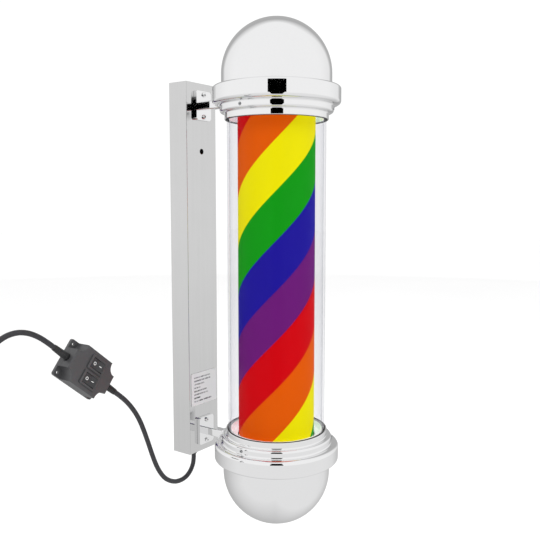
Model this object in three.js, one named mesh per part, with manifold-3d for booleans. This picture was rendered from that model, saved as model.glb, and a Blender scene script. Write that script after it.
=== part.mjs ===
// Wall-mounted rotating barber pole light with an inline double switch.
// Millimetres, +Z up. The wall is the plane y = 0 and the pole stands out towards -Y.
// The origin is on the wall face, at the middle of the wall bracket.
import * as THREE from 'three';
import { mergeVertices } from 'three/addons/utils/BufferGeometryUtils.js';
import Module from 'manifold-3d';

const wasm = await Module();
wasm.setup();

// Driving dimensions ---------------------------------------------------------
const GAP = 0.3;                  // air left between pieces that touch
const ROUND = 32;                 // segments around the large round pieces
const SMALL_ROUND = 12;           // segments around screws, pins and bushes

const BRACKET_WIDTH = 65;
const BRACKET_DEPTH = 33.2;
const BRACKET_HEIGHT = 552;
const SHEET = 1.5;                // folded sheet of the bracket
const TAB_WIDTH = 52;             // end tabs of the back plate
const TAB_DEPTH = 9.5;
const COVER_SCREW_X = 19;         // one cover screw at each end, off centre
const COVER_SCREW_Y = -5.6;
const WALL_HOLE_Z = 177.5;        // keyholes, and the access hole in front of the upper one
const ACCESS_HOLE_R = 4.2;

const POLE_Y = -169;              // axis of the pole
const HALF_HEIGHT = 350;          // axis centre to the top of a dome
const DOME_R = 75.2;
const DOME_WALL = 1.5;
const DOME_FOOT_Z = 238.8;
const BAND_R = 87.5;              // widest ring of a collar
const BAND_LOW = 233.5;
const BAND_HIGH = 259.5;
const BAND_ROUNDING = 10;         // width of the band's rounded corner on the dome side
const BAND_CROWN = 4.5;           // height of the same corner
const STEP_R = 77.6;              // middle ring of a collar
const STEP_LOW = 223;
const NECK_R = 71;                // narrow ring of a collar, round the tube
const NECK_LOW = 214.1;
const SHELF_Z = 236;              // inside the band, carries the cap plate

const TUBE_R = 67.8;
const TUBE_WALL = 3;
const TUBE_END = 225.1;
const SEAL_TOP = 231.5;
const DRUM_R = 53.2;
const DRUM_WALL = 1.2;
const DRUM_END = 222;
const HUB_R = 9;
const GUIDE_BORE = 17;
const BUSH_R = 16.2;
const BUSH_BORE = 12.8;
const SHAFT_R = 3;
const POST_WIDTH = 20;            // flat hollow post of the light
const POST_THICK = 9;
const POST_TOP = 205;

const PLATE_R = 82.8;             // cap plate that carries the motor or the driver
const PLATE_SHEET = 2;
const PLATE_SCREW_R = 80.2;
const PLATE_SCREW_ANGLES = [-45, 115];
const GRUB_ANGLES = [-62, 58, 178];
const GRUB_Z = 228.3;

const ARM_Z = 243.5;              // height of both arms above and below the origin
const FLANGE_WIDTH = 32;
const FLANGE_HEIGHT = 42;
const FLANGE_THICK = 5;
const ARM_SCREW_OFFSET = 16;
const NECK_WIDTH = 13;
const NECK_TALL = 12;
const SADDLE_WIDTH = 22;
const SADDLE_TALL = 20;
const SADDLE_START = -76.5;
const SPIGOT_R = 4.5;
const BORE_R = 2.6;
const NUT_FLATS = 12;

const LABEL_WIDTH = 57;
const LABEL_HEIGHT = 49.5;
const LABEL_THICK = 0.4;
const LABEL_Z = -178;

const CORD_D = 6.8;
const CORD_EXIT = [-6, -16.5];    // x and y where the cord leaves the bracket
const GLAND_TOP = -263;           // inside the bracket
const GLAND_LOW = -284;
const GROMMET_REACH = 25;         // how far a switch box grommet stands out

const SWITCH_CENTRE = [-207, -115];   // x and z of the switch box on the wall
const SWITCH_ANGLE = 39;              // its long axis falls this many degrees to the right
const SWITCH_LENGTH = 75;
const SWITCH_WIDTH = 52;
const SWITCH_BASE = 9;
const SWITCH_COVER = 15;
const SWITCH_WALL = 2.5;
const EAR_THICK = 4;
const NOTCH_R = 11.5;
const ENTRY_Y = -12;                  // height of the cord entries above the wall
const ROCKER_PITCH = 21.5;
const BEZEL_LENGTH = 28;
const BEZEL_WIDTH = 19;
const BEZEL_THICK = 2.2;
const ROCKER_LENGTH = 21;
const ROCKER_WIDTH = 13;
const ROCKER_TILT = 9;                // degrees either side of level
const ROCKER_SHIFT = 1.5;             // the switches sit this far from the box's middle

const COIL_CENTRE = [-406, -13, -214];
const COIL_TURN_R = 38;               // centre of the bundle of turns
const COIL_ACROSS = 12;               // half the bundle's width, along the radius
const COIL_DEEP = 7;                  // half the bundle's depth, off the wall
const TIE_ANGLE = 130;                // where the tie goes round the bundle, in degrees
const PLUG_TOP = [-359.4, -10, -241.2];   // where the lead leaves the coil for the plug

// Routes of the free cord, each point [x, y, z] --------------------------------
const CORD_TO_SWITCH = [
  [-6, -16.5, -284.3], [-6, -16.5, -287], [-6, -16.5, -290], [-8.1, -16.5, -300.5],
  [-14.1, -16.5, -309.5], [-23, -16.5, -315.4], [-33.5, -16.4, -317.5], [-46, -16.1, -316.3],
  [-58, -15.7, -311.3], [-69, -15.2, -303], [-78, -14.7, -291.5], [-85.3, -14.2, -278],
  [-91.7, -13.6, -262], [-98.5, -13, -243], [-106, -12.4, -223], [-114.5, -12, -204],
  [-125, -12, -187.5], [-137, -12, -173.2], [-149.1, -12, -161.9], [-158.43, -12, -154.33],
];
const CORD_TO_COIL = [
  [-255.57, -12, -75.67], [-264.9, -12, -68.1], [-277, -12, -59.6], [-291, -12, -52.8],
  [-306, -12.2, -49.8], [-321.5, -12.6, -51.6], [-335.5, -13, -58.2], [-346.5, -13.6, -69],
  [-354, -14.3, -83.5], [-358.6, -15, -100], [-361.2, -15.6, -118], [-362.4, -15.9, -138],
  [-362.8, -16, -160], [-362.8, -16, -183.2],
];

// Geometry helpers -------------------------------------------------------------
function toManifold(geometry) {
  const bare = geometry.clone();
  bare.deleteAttribute('normal');
  bare.deleteAttribute('uv');
  const merged = mergeVertices(bare, 1e-4);
  const kept = [];
  const index = merged.index.array;
  for (let i = 0; i < index.length; i += 3) {
    const [a, b, c] = [index[i], index[i + 1], index[i + 2]];
    if (a !== b && b !== c && a !== c) kept.push(a, b, c);
  }
  const mesh = new wasm.Mesh({
    numProp: 3,
    vertProperties: new Float32Array(merged.attributes.position.array),
    triVerts: new Uint32Array(kept),
  });
  const solid = new wasm.Manifold(mesh);
  return solid.volume() < 0 ? toManifold(turnedInsideOut(geometry)) : solid;
}

function turnedInsideOut(geometry) {
  const flipped = geometry.index ? geometry.toNonIndexed() : geometry.clone();
  const position = flipped.attributes.position.array;
  for (let i = 0; i < position.length; i += 9) {
    for (let k = 0; k < 3; k += 1) {
      [position[i + 3 + k], position[i + 6 + k]] = [position[i + 6 + k], position[i + 3 + k]];
    }
  }
  return flipped;
}

function toGeometry(solid) {
  const mesh = solid.getMesh();
  const geometry = new THREE.BufferGeometry();
  geometry.setAttribute('position', new THREE.BufferAttribute(new Float32Array(mesh.vertProperties), 3));
  geometry.setIndex(new THREE.BufferAttribute(new Uint32Array(mesh.triVerts), 1));
  geometry.computeVertexNormals();
  return geometry;
}

function joined(...geometries) {
  return toGeometry(geometries.map(toManifold).reduce((sum, solid) => sum.add(solid)));
}

function cut(geometry, ...tools) {
  return toGeometry(tools.map(toManifold).reduce((rest, tool) => rest.subtract(tool), toManifold(geometry)));
}

function box(size, centre) {
  return new THREE.BoxGeometry(...size).translate(...centre);
}

// A solid turned about the Z axis through (x, y); profile points are [radius, z].
function turned(profile, segments = ROUND, x = 0, y = POLE_Y) {
  const points = profile.map(([r, z]) => new THREE.Vector2(r, z));
  return new THREE.LatheGeometry(points, segments).rotateX(Math.PI / 2).translate(x, y, 0);
}

function ring(inner, outer, low, high, segments = ROUND, x = 0, y = POLE_Y) {
  return turned([[inner, low], [outer, low], [outer, high], [inner, high], [inner, low]], segments, x, y);
}

function disc(r, low, high, segments = ROUND, x = 0, y = POLE_Y) {
  return turned([[0, low], [r, low], [r, high], [0, high]], segments, x, y);
}

// A round bar between two points.
function bar(r, from, to, segments = SMALL_ROUND) {
  const start = new THREE.Vector3(...from);
  const along = new THREE.Vector3(...to).sub(start);
  const geometry = new THREE.CylinderGeometry(r, r, along.length(), segments);
  const turn = new THREE.Quaternion();
  turn.setFromUnitVectors(new THREE.Vector3(0, 1, 0), along.clone().normalize());
  return geometry.applyQuaternion(turn).translate(...start.addScaledVector(along, 0.5).toArray());
}

// A pan-head screw: the head's underside is at `seat`, and `outward` points away from the metal.
function screw(seat, outward, headR, headTall, shankR, shankLong) {
  const dome = headTall * 0.35;
  const profile = [
    [0, -shankLong], [shankR, -shankLong], [shankR, 0], [headR, 0], [headR, headTall - dome],
    [headR * 0.72, headTall], [0, headTall],
  ].map(([r, z]) => new THREE.Vector2(r, z));
  const turn = new THREE.Quaternion();
  turn.setFromUnitVectors(new THREE.Vector3(0, 1, 0), new THREE.Vector3(...outward).normalize());
  return new THREE.LatheGeometry(profile, SMALL_ROUND).applyQuaternion(turn).translate(...seat);
}

function roundedOutline(width, height, radius) {
  const [w, h] = [width / 2, height / 2];
  const shape = new THREE.Shape();
  shape.moveTo(-w + radius, -h);
  shape.lineTo(w - radius, -h);
  shape.absarc(w - radius, -h + radius, radius, -Math.PI / 2, 0);
  shape.lineTo(w, h - radius);
  shape.absarc(w - radius, h - radius, radius, 0, Math.PI / 2);
  shape.lineTo(-w + radius, h);
  shape.absarc(-w + radius, h - radius, radius, Math.PI / 2, Math.PI);
  shape.lineTo(-w, -h + radius);
  shape.absarc(-w + radius, -h + radius, radius, Math.PI, Math.PI * 1.5);
  return shape;
}

// A plate whose outline lies in X and Z, reaching from y = back out to y = front.
function plate(outline, back, front, curveSegments = 4) {
  const thick = back - front;
  const geometry = new THREE.ExtrudeGeometry(outline, { depth: thick, bevelEnabled: false, curveSegments });
  return geometry.rotateX(Math.PI / 2).translate(0, back, 0);
}

function atHeight(geometry, z) {
  return geometry.translate(0, 0, z);
}

function mirroredInZ(geometry) {
  return geometry.clone().scale(1, 1, -1);
}

function tube(route, diameter, sides, stepDiameters = 2.5) {
  const curve = new THREE.CatmullRomCurve3(route.map((p) => new THREE.Vector3(...p)));
  const outline = new THREE.Shape();
  outline.absarc(0, 0, diameter / 2, 0, Math.PI * 2);
  const steps = Math.ceil(curve.getLength() / (stepDiameters * diameter));
  return new THREE.ExtrudeGeometry(outline, {
    steps, curveSegments: sides, bevelEnabled: false, extrudePath: curve,
  });
}

// Parts ------------------------------------------------------------------------
const root = new THREE.Group();
root.name = 'barber_pole_light';

const FINISHES = {
  chrome: { color: 0xd8dadd, roughness: 0.08, metalness: 1 },
  steel: { color: 0xc4c6c8, roughness: 0.25, metalness: 1 },
  zinc: { color: 0xa9acae, roughness: 0.4, metalness: 1 },
  aluminium: { color: 0xb8bbbd, roughness: 0.35, metalness: 1 },
  glass: { color: 0xe4eef0, roughness: 0.05, metalness: 0 },
  stripes: { color: 0xd65a18, roughness: 0.45, metalness: 0 },
  whitePlastic: { color: 0xeceae4, roughness: 0.5, metalness: 0 },
  darkPlastic: { color: 0x3a3b3e, roughness: 0.55, metalness: 0 },
  blackGloss: { color: 0x1d1e20, roughness: 0.25, metalness: 0 },
  rubber: { color: 0x242427, roughness: 0.7, metalness: 0 },
  brass: { color: 0xb4893a, roughness: 0.35, metalness: 1 },
  paper: { color: 0xe9e9e6, roughness: 0.6, metalness: 0 },
  led: { color: 0xfff4da, roughness: 0.4, metalness: 0 },
};

function add(name, geometry, finish) {
  const material = new THREE.MeshStandardMaterial(FINISHES[finish]);
  const mesh = new THREE.Mesh(toGeometry(toManifold(geometry)), material);
  mesh.name = name;
  root.add(mesh);
}

// Wall bracket: a folded cover over a back plate that stays on the wall.
function bracketCover() {
  const half = BRACKET_HEIGHT / 2;
  const outer = box([BRACKET_WIDTH, BRACKET_DEPTH, BRACKET_HEIGHT], [0, -BRACKET_DEPTH / 2, 0]);
  const inner = box(
    [BRACKET_WIDTH - 2 * SHEET, BRACKET_DEPTH, BRACKET_HEIGHT - 2 * SHEET],
    [0, -BRACKET_DEPTH / 2 + SHEET, 0],
  );
  const face = -BRACKET_DEPTH;
  const weldNuts = [];
  const holes = [bar(ACCESS_HOLE_R, [0, face - 1, WALL_HOLE_Z], [0, face + 3, WALL_HOLE_Z])];
  for (const side of [-1, 1]) {
    const z = side * ARM_Z;
    holes.push(bar(BORE_R + 1, [0, face - 1, z], [0, face + 3, z]));
    for (const offset of [-ARM_SCREW_OFFSET, ARM_SCREW_OFFSET]) {
      weldNuts.push(bar(4.5, [0, face + SHEET - 0.5, z + offset], [0, face + SHEET + 4, z + offset], 6));
      holes.push(bar(2.4, [0, face - 1, z + offset], [0, face + 8, z + offset]));
    }
    const [low, high] = [side * (half - 3), side * (half + 3)];
    holes.push(bar(1.9, [COVER_SCREW_X, COVER_SCREW_Y, low], [COVER_SCREW_X, COVER_SCREW_Y, high]));
  }
  holes.push(bar(5.3, [...CORD_EXIT, -half - 3], [...CORD_EXIT, -half + 3]));
  return cut(joined(cut(outer, inner), ...weldNuts), ...holes);
}

function keyhole(z) {
  return joined(
    bar(5, [0, -4, z], [0, 1, z]),
    bar(2.6, [0, -4, z + 9], [0, 1, z + 9]),
    box([5.2, 5, 9], [0, -1.5, z + 4.5]),
  );
}

function backPlate() {
  const inset = SHEET + GAP;
  const height = BRACKET_HEIGHT - 2 * inset;
  const sheet = box([BRACKET_WIDTH - 2 * inset, SHEET, height], [0, -SHEET / 2, 0]);
  const tabs = [];
  const holes = [keyhole(WALL_HOLE_Z), keyhole(-WALL_HOLE_Z)];
  for (const side of [-1, 1]) {
    const z = side * (height / 2 - SHEET / 2);
    tabs.push(box([TAB_WIDTH, TAB_DEPTH, SHEET], [0, -TAB_DEPTH / 2, z]));
    holes.push(bar(1.9, [COVER_SCREW_X, COVER_SCREW_Y, z - 3], [COVER_SCREW_X, COVER_SCREW_Y, z + 3]));
  }
  return cut(joined(sheet, ...tabs), ...holes);
}

function addBracket() {
  add('bracket_cover', bracketCover(), 'steel');
  add('bracket_back_plate', backPlate(), 'zinc');
  const seat = BRACKET_HEIGHT / 2 + GAP;
  for (const [end, side] of [['top', 1], ['bottom', -1]]) {
    const at = [COVER_SCREW_X, COVER_SCREW_Y, side * seat];
    add(`cover_screw_${end}`, screw(at, [0, 0, side], 2.9, 1.8, 1.5, 6), 'zinc');
  }
  const face = -BRACKET_DEPTH - GAP;
  const label = plate(roundedOutline(LABEL_WIDTH, LABEL_HEIGHT, 2), face, face - LABEL_THICK);
  add('rating_label', atHeight(label, LABEL_Z), 'paper');
}

// The arms carry the pole in front of the bracket and lead the wires to it.
function armSolid() {
  const back = -BRACKET_DEPTH - GAP;
  const flange = plate(roundedOutline(FLANGE_WIDTH, FLANGE_HEIGHT, 3), back, back - FLANGE_THICK);
  const neck = plate(roundedOutline(NECK_WIDTH, NECK_TALL, 2.5), back - 1, SADDLE_START - 1);
  const saddle = plate(roundedOutline(SADDLE_WIDTH, SADDLE_TALL, 4), SADDLE_START, POLE_Y + BAND_R - 6);
  const spigot = bar(SPIGOT_R, [0, SADDLE_START - 2, 0], [0, POLE_Y + STEP_R, 0]);
  const seat = disc(BAND_R + GAP, -40, 40);
  const body = cut(joined(flange, neck, saddle), seat);
  const tools = [bar(BORE_R, [0, back + 2, 0], [0, POLE_Y + STEP_R - 2, 0])];
  for (const z of [-ARM_SCREW_OFFSET, ARM_SCREW_OFFSET]) {
    tools.push(bar(2.4, [0, back + 2, z], [0, back - FLANGE_THICK - 2, z]));
  }
  return cut(joined(body, spigot), ...tools);
}

function armNut() {
  const face = POLE_Y + BAND_R - 2.3 - GAP;
  const hexagon = new THREE.CylinderGeometry(NUT_FLATS / Math.sqrt(3), NUT_FLATS / Math.sqrt(3), 4.4, 6);
  hexagon.translate(0, face - 2.9, 0);
  return cut(hexagon, bar(SPIGOT_R + GAP, [0, face + 3, 0], [0, face - 9, 0]));
}

function addArms() {
  const seat = -BRACKET_DEPTH - GAP - FLANGE_THICK - GAP;
  for (const [end, side] of [['upper', 1], ['lower', -1]]) {
    add(`${end}_arm`, atHeight(armSolid(), side * ARM_Z), 'chrome');
    add(`${end}_arm_nut`, atHeight(armNut(), side * ARM_Z), 'zinc');
    for (const [place, offset] of [['high', ARM_SCREW_OFFSET], ['low', -ARM_SCREW_OFFSET]]) {
      const at = [0, seat, side * ARM_Z + offset];
      add(`${end}_arm_screw_${place}`, screw(at, [0, -1, 0], 3.5, 2.4, 2, 11), 'chrome');
    }
  }
}

// Collar: band, step and neck in one turned ring, with the arm's and the screws' holes.
function collarProfile() {
  const outside = [
    [NECK_R, NECK_LOW], [NECK_R, STEP_LOW], [STEP_R, STEP_LOW], [STEP_R, BAND_LOW], [BAND_R, BAND_LOW],
  ];
  const corner = [];
  for (let degrees = 0; degrees <= 90; degrees += 22.5) {
    const angle = THREE.MathUtils.degToRad(degrees);
    corner.push([
      BAND_R - BAND_ROUNDING + BAND_ROUNDING * Math.cos(angle),
      BAND_HIGH - BAND_CROWN + BAND_CROWN * Math.sin(angle),
    ]);
  }
  const lip = DOME_R + 0.35;
  const inside = [
    [lip, BAND_HIGH], [lip, BAND_HIGH - 3.3], [BAND_R - 4, BAND_HIGH - 3.3], [BAND_R - 2.3, BAND_HIGH - 9],
    [BAND_R - 2.3, SHELF_Z], [STEP_R - 2.2, SHELF_Z], [STEP_R - 2.2, TUBE_END + GAP],
    [TUBE_R + 0.6, TUBE_END + GAP], [TUBE_R + 0.6, NECK_LOW], [NECK_R, NECK_LOW],
  ];
  return [...outside, ...corner, ...inside];
}

// A point at a given radius and angle round the pole's axis.
function aroundPole(r, degrees, z) {
  const angle = THREE.MathUtils.degToRad(degrees);
  return [r * Math.cos(angle), POLE_Y + r * Math.sin(angle), z];
}

function plateScrewHole(degrees) {
  const low = aroundPole(PLATE_SCREW_R, degrees, SHELF_Z - 6);
  return bar(1.8, low, aroundPole(PLATE_SCREW_R, degrees, SHELF_Z + 6));
}

function collar() {
  const holes = [bar(SPIGOT_R + 0.4, [0, POLE_Y + BAND_R + 3, ARM_Z], [0, POLE_Y + BAND_R - 6, ARM_Z])];
  for (const degrees of GRUB_ANGLES) {
    holes.push(bar(2.3, aroundPole(STEP_R - 6, degrees, GRUB_Z), aroundPole(STEP_R + 4, degrees, GRUB_Z)));
  }
  for (const degrees of PLATE_SCREW_ANGLES) {
    holes.push(plateScrewHole(degrees));
  }
  return cut(turned(collarProfile()), ...holes);
}

// Cap plate, notched where the arm's nut sits.
function capPlate(centreHole) {
  const low = SHELF_Z + GAP;
  const holes = [box([NUT_FLATS + 6, 8, 10], [0, POLE_Y + PLATE_R, low])];
  for (const degrees of PLATE_SCREW_ANGLES) {
    holes.push(plateScrewHole(degrees));
  }
  return cut(ring(centreHole, PLATE_R, low, low + PLATE_SHEET), ...holes);
}

function dome() {
  const outside = [[DOME_R, DOME_FOOT_Z]];
  const inside = [];
  const centre = HALF_HEIGHT - DOME_R;
  const innerR = DOME_R - DOME_WALL;
  const stops = 8;
  for (let i = 0; i <= stops; i += 1) {
    const angle = (Math.PI / 2) * (i / stops);
    const [cosine, sine] = i === stops ? [0, 1] : [Math.cos(angle), Math.sin(angle)];
    outside.push([DOME_R * cosine, centre + DOME_R * sine]);
    inside.unshift([innerR * cosine, centre + innerR * sine]);
  }
  const shell = turned([...outside, ...inside, [innerR, DOME_FOOT_Z], [DOME_R, DOME_FOOT_Z]]);
  return cut(shell, bar(BORE_R + 1, [0, POLE_Y + DOME_R + 4, ARM_Z], [0, POLE_Y + DOME_R - 6, ARM_Z]));
}

function grubScrew(degrees) {
  const along = (r) => aroundPole(r, degrees, GRUB_Z);
  const socket = bar(1, along(STEP_R - 0.6), along(STEP_R + 3), 6);
  return cut(bar(2, along(STEP_R - 1.9), along(STEP_R + 0.7)), socket);
}

function addCap(end, place) {
  add(`${end}_dome`, place(dome()), 'chrome');
  add(`${end}_collar`, place(collar()), 'chrome');
  add(`${end}_tube_seal`, place(ring(62, STEP_R - 2.2 - GAP, TUBE_END + 2 * GAP, SEAL_TOP)), 'rubber');
  GRUB_ANGLES.forEach((degrees, i) => add(`${end}_grub_screw_${i + 1}`, place(grubScrew(degrees)), 'zinc'));
  const seat = SHELF_Z + GAP + PLATE_SHEET + GAP;
  PLATE_SCREW_ANGLES.forEach((degrees, i) => {
    const solid = screw(aroundPole(PLATE_SCREW_R, degrees, seat), [0, 0, 1], 2.4, 1.6, 1.5, 5.4);
    add(`${end}_plate_screw_${i + 1}`, place(solid), 'zinc');
  });
}

// Motor in the upper cap: its can stands on the plate, its nose reaches down through it.
const MOTOR_LOW = SHELF_Z + PLATE_SHEET + 2 * GAP;
const SHAFT_TOP = MOTOR_LOW + 1;

function motor() {
  const can = ring(SHAFT_R + 0.5, 25, MOTOR_LOW, MOTOR_LOW + 3);
  const back = disc(25, MOTOR_LOW + 2, MOTOR_LOW + 20);
  const nose = ring(SHAFT_R + 0.5, 8, SHELF_Z - 2, MOTOR_LOW + 1);
  return joined(can, back, nose);
}

function driveDisc() {
  const high = DRUM_END + GAP;
  const inner = DRUM_R - DRUM_WALL - GAP;
  return turned([
    [SHAFT_R + GAP, high - 4], [inner, high - 4], [inner, high], [DRUM_R, high], [DRUM_R, high + 2],
    [HUB_R, high + 2], [HUB_R, high + 9], [SHAFT_R + GAP, high + 9], [SHAFT_R + GAP, high - 4],
  ]);
}

function addDrive() {
  add('motor_plate', capPlate(8.6), 'zinc');
  add('motor', motor(), 'zinc');
  add('drive_shaft', disc(SHAFT_R, DRUM_END - 6, SHAFT_TOP, SMALL_ROUND), 'steel');
  add('drive_disc', driveDisc(), 'whitePlastic');
}

// The striped drum turns between the drive disc and the guide ring.
function guideRing() {
  const low = -DRUM_END - GAP;
  const inner = DRUM_R - DRUM_WALL - GAP;
  return turned([
    [GUIDE_BORE, low - 2], [DRUM_R, low - 2], [DRUM_R, low], [inner, low], [inner, low + 4],
    [GUIDE_BORE, low + 4], [GUIDE_BORE, low - 2],
  ]);
}

function addDrum() {
  add('striped_drum', ring(DRUM_R - DRUM_WALL, DRUM_R, -DRUM_END, DRUM_END), 'stripes');
  add('guide_ring', guideRing(), 'whitePlastic');
  const foot = -SHELF_Z;
  const bush = turned([
    [BUSH_BORE, foot], [24, foot], [24, foot + 3], [BUSH_R, foot + 3], [BUSH_R, foot + 22],
    [BUSH_BORE, foot + 22], [BUSH_BORE, foot],
  ]);
  add('guide_bush', bush, 'whitePlastic');
  add('outer_tube', ring(TUBE_R - TUBE_WALL, TUBE_R, -TUBE_END, TUBE_END), 'glass');
}

// Light: a strip on each face of a flat hollow post, fed by a driver in the lower cap.
function addLight() {
  const foot = -SHELF_Z;
  const middle = (POST_TOP + foot) / 2;
  const outer = box([POST_WIDTH, POST_THICK, POST_TOP - foot], [0, POLE_Y, middle]);
  const inner = box([POST_WIDTH - 4, POST_THICK - 4, POST_TOP - foot + 2], [0, POLE_Y, middle]);
  add('light_post', cut(outer, inner), 'aluminium');
  const reach = POST_THICK / 2 + GAP + 0.6;
  const [low, high] = [foot + 24, POST_TOP - 5];
  for (const [side, sign] of [['front', -1], ['back', 1]]) {
    const strip = box([14, 1.2, high - low], [0, POLE_Y + sign * reach, (low + high) / 2]);
    add(`light_strip_${side}`, strip, 'led');
  }
  add('driver_plate', mirroredInZ(capPlate(5)), 'zinc');
  const top = -SHELF_Z - PLATE_SHEET - 2 * GAP;
  add('light_driver', box([62, 34, 20], [0, POLE_Y, top - 10]), 'whitePlastic');
}

// Wiring inside the bracket.
function addWiring() {
  const back = -SHEET - GAP;
  add('terminal_block', box([34, 14, 20], [0, back - 7, -60]), 'whitePlastic');
  const y = -18;
  const through = [0, POLE_Y + 74];
  const upper = [[0, -10, -49.5], [0, -11, -35], [2, y, 40], [-8, y, 150], [-9, y, 205], [-5, -17, 231],
    [-1, -21, 241.5], [0, -29, ARM_Z], [0, -34, ARM_Z], [0, -60, ARM_Z], [...through, ARM_Z]];
  const lower = [[-6, -10, -70.5], [-6, -11, -85], [-12, y, -140], [-11, y, -200], [-5, -17, -231],
    [-1, -21, -241.5], [0, -29, -ARM_Z], [0, -34, -ARM_Z], [0, -60, -ARM_Z], [...through, -ARM_Z]];
  const supply = [[8, -10, -70.5], [8, -11, -85], [16, -14, -140], [18, -14, -210], [6, -15, -240],
    [CORD_EXIT[0], CORD_EXIT[1], -256], [CORD_EXIT[0], CORD_EXIT[1], GLAND_TOP + GAP]];
  add('motor_lead', tube(upper, 3.6, 6, 4), 'rubber');
  add('light_lead', tube(lower, 3.6, 6, 4), 'rubber');
  add('supply_lead', tube(supply, 5.2, 6, 3), 'rubber');
}

// Tapered strain relief through the bottom of the bracket.
function addGland() {
  const edge = -BRACKET_HEIGHT / 2;
  const profile = [
    [0, GLAND_TOP], [5.4, GLAND_TOP], [6.4, edge + SHEET + GAP], [4.9, edge + SHEET + GAP], [4.9, edge - GAP],
    [7.6, edge - GAP], [7.6, edge - 3], [6.4, edge - 4], [4.4, GLAND_LOW], [0, GLAND_LOW],
  ];
  add('cord_gland', turned(profile, 20, CORD_EXIT[0], CORD_EXIT[1]), 'blackGloss');
}

// Switch box, drawn with its long axis on X and its width on Z, then turned on the wall.
function onWall(geometry) {
  const [x, z] = SWITCH_CENTRE;
  return geometry.rotateY(THREE.MathUtils.degToRad(SWITCH_ANGLE)).translate(x, 0, z);
}

function notches() {
  const tools = [];
  for (const x of [-1, 1]) {
    for (const z of [-1, 1]) {
      const centre = [x * (SWITCH_LENGTH / 2 - 1.5), z * (SWITCH_WIDTH / 2 - 1.5)];
      tools.push(bar(NOTCH_R, [centre[0], -EAR_THICK, centre[1]], [centre[0], -60, centre[1]], 24));
    }
  }
  return tools;
}

// The cord's way in at each end.
function entries() {
  const x = SWITCH_LENGTH / 2;
  return [-1, 1].map((end) => bar(5.4, [end * (x - 14), ENTRY_Y, 0], [end * (x + 4), ENTRY_Y, 0]));
}

// The room inside the box, between two depths: a wide middle and a narrow end to end part.
function hollow(back, front) {
  const middle = (back + front) / 2;
  const thick = back - front;
  return [
    box([SWITCH_LENGTH - 30, thick, SWITCH_WIDTH - 2 * SWITCH_WALL], [0, middle, 0]),
    box([SWITCH_LENGTH - 9, thick, SWITCH_WIDTH - 30], [0, middle, 0]),
  ];
}

function switchBase() {
  const solid = plate(roundedOutline(SWITCH_LENGTH, SWITCH_WIDTH, 3), 0, -SWITCH_BASE);
  const ears = [];
  for (const x of [-1, 1]) {
    for (const z of [-1, 1]) {
      const centre = [x * (SWITCH_LENGTH / 2 - 5.5), z * (SWITCH_WIDTH / 2 - 5.5)];
      ears.push(bar(2.2, [centre[0], 1, centre[1]], [centre[0], -EAR_THICK - 1, centre[1]]));
    }
  }
  return cut(solid, ...notches(), ...ears, ...entries(), ...hollow(-SWITCH_WALL, -SWITCH_BASE - 1));
}

function rockerPlace(side) {
  return [ROCKER_SHIFT, side * ROCKER_PITCH / 2];
}

function switchCover() {
  const back = -SWITCH_BASE - GAP;
  const front = back - SWITCH_COVER;
  const solid = plate(roundedOutline(SWITCH_LENGTH, SWITCH_WIDTH, 3), back, front);
  const wells = [-1, 1].map((side) => {
    const [x, z] = rockerPlace(side);
    return box([BEZEL_LENGTH - 3.4, 15, BEZEL_WIDTH - 3.4], [x, front + 5, z]);
  });
  return cut(solid, ...notches(), ...wells, ...entries(), ...hollow(back + 1, front + SWITCH_WALL));
}

const COVER_FRONT = -SWITCH_BASE - GAP - SWITCH_COVER;

// Switch module: a bezel on the cover and a hollow body below it, open where the rocker turns.
function switchModule() {
  const back = COVER_FRONT - GAP;
  const bezel = plate(roundedOutline(BEZEL_LENGTH, BEZEL_WIDTH, 1.2), back, back - BEZEL_THICK);
  const body = box([BEZEL_LENGTH - 4, 11.5, BEZEL_WIDTH - 4], [0, back + 5.7, 0]);
  const well = box([ROCKER_LENGTH + 1, 20, ROCKER_WIDTH + 1], [0, back - 1, 0]);
  return cut(joined(bezel, body), well);
}

// Rocker: two flat faces that meet at a shallow V over the pivot, sides at full depth.
function rocker() {
  const pivot = COVER_FRONT + 1;
  const half = ROCKER_LENGTH / 2 - 0.7;
  const rise = half * Math.tan(THREE.MathUtils.degToRad(ROCKER_TILT));
  const outline = new THREE.Shape();
  outline.moveTo(-half + 2, -5);
  outline.lineTo(half - 2, -5);
  outline.lineTo(half, 3 + rise);
  outline.lineTo(0, 3.2);
  outline.lineTo(-half, 3 + rise);
  const geometry = new THREE.ExtrudeGeometry(outline, { depth: ROCKER_WIDTH, bevelEnabled: false });
  geometry.translate(0, 0, -ROCKER_WIDTH / 2).rotateX(Math.PI);
  geometry.rotateZ(THREE.MathUtils.degToRad(-ROCKER_TILT));
  return geometry.translate(0, pivot, 0);
}

function addSwitchBox() {
  add('switch_box_base', onWall(switchBase()), 'darkPlastic');
  add('switch_box_cover', onWall(switchCover()), 'darkPlastic');
  for (const [hand, side] of [['left', -1], ['right', 1]]) {
    const [x, z] = rockerPlace(side);
    add(`${hand}_switch_body`, onWall(switchModule().translate(x, 0, z)), 'darkPlastic');
    add(`${hand}_rocker`, onWall(rocker().translate(x, 0, z)), 'blackGloss');
  }
}

// Tapered cord grommets in the ends of the switch box.
function addGrommets() {
  const x = SWITCH_LENGTH / 2;
  const tip = GROMMET_REACH - GAP;
  const profile = [[0, -8], [5, -8], [5, 2], [4.7, 6], [4, tip], [0, tip]];
  const points = profile.map(([r, z]) => new THREE.Vector2(r, z));
  for (const [end, side] of [['upper', -1], ['lower', 1]]) {
    const solid = new THREE.LatheGeometry(points, SMALL_ROUND).rotateZ(-side * Math.PI / 2);
    add(`${end}_grommet`, onWall(solid.translate(side * x, ENTRY_Y, 0)), 'rubber');
  }
}

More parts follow.
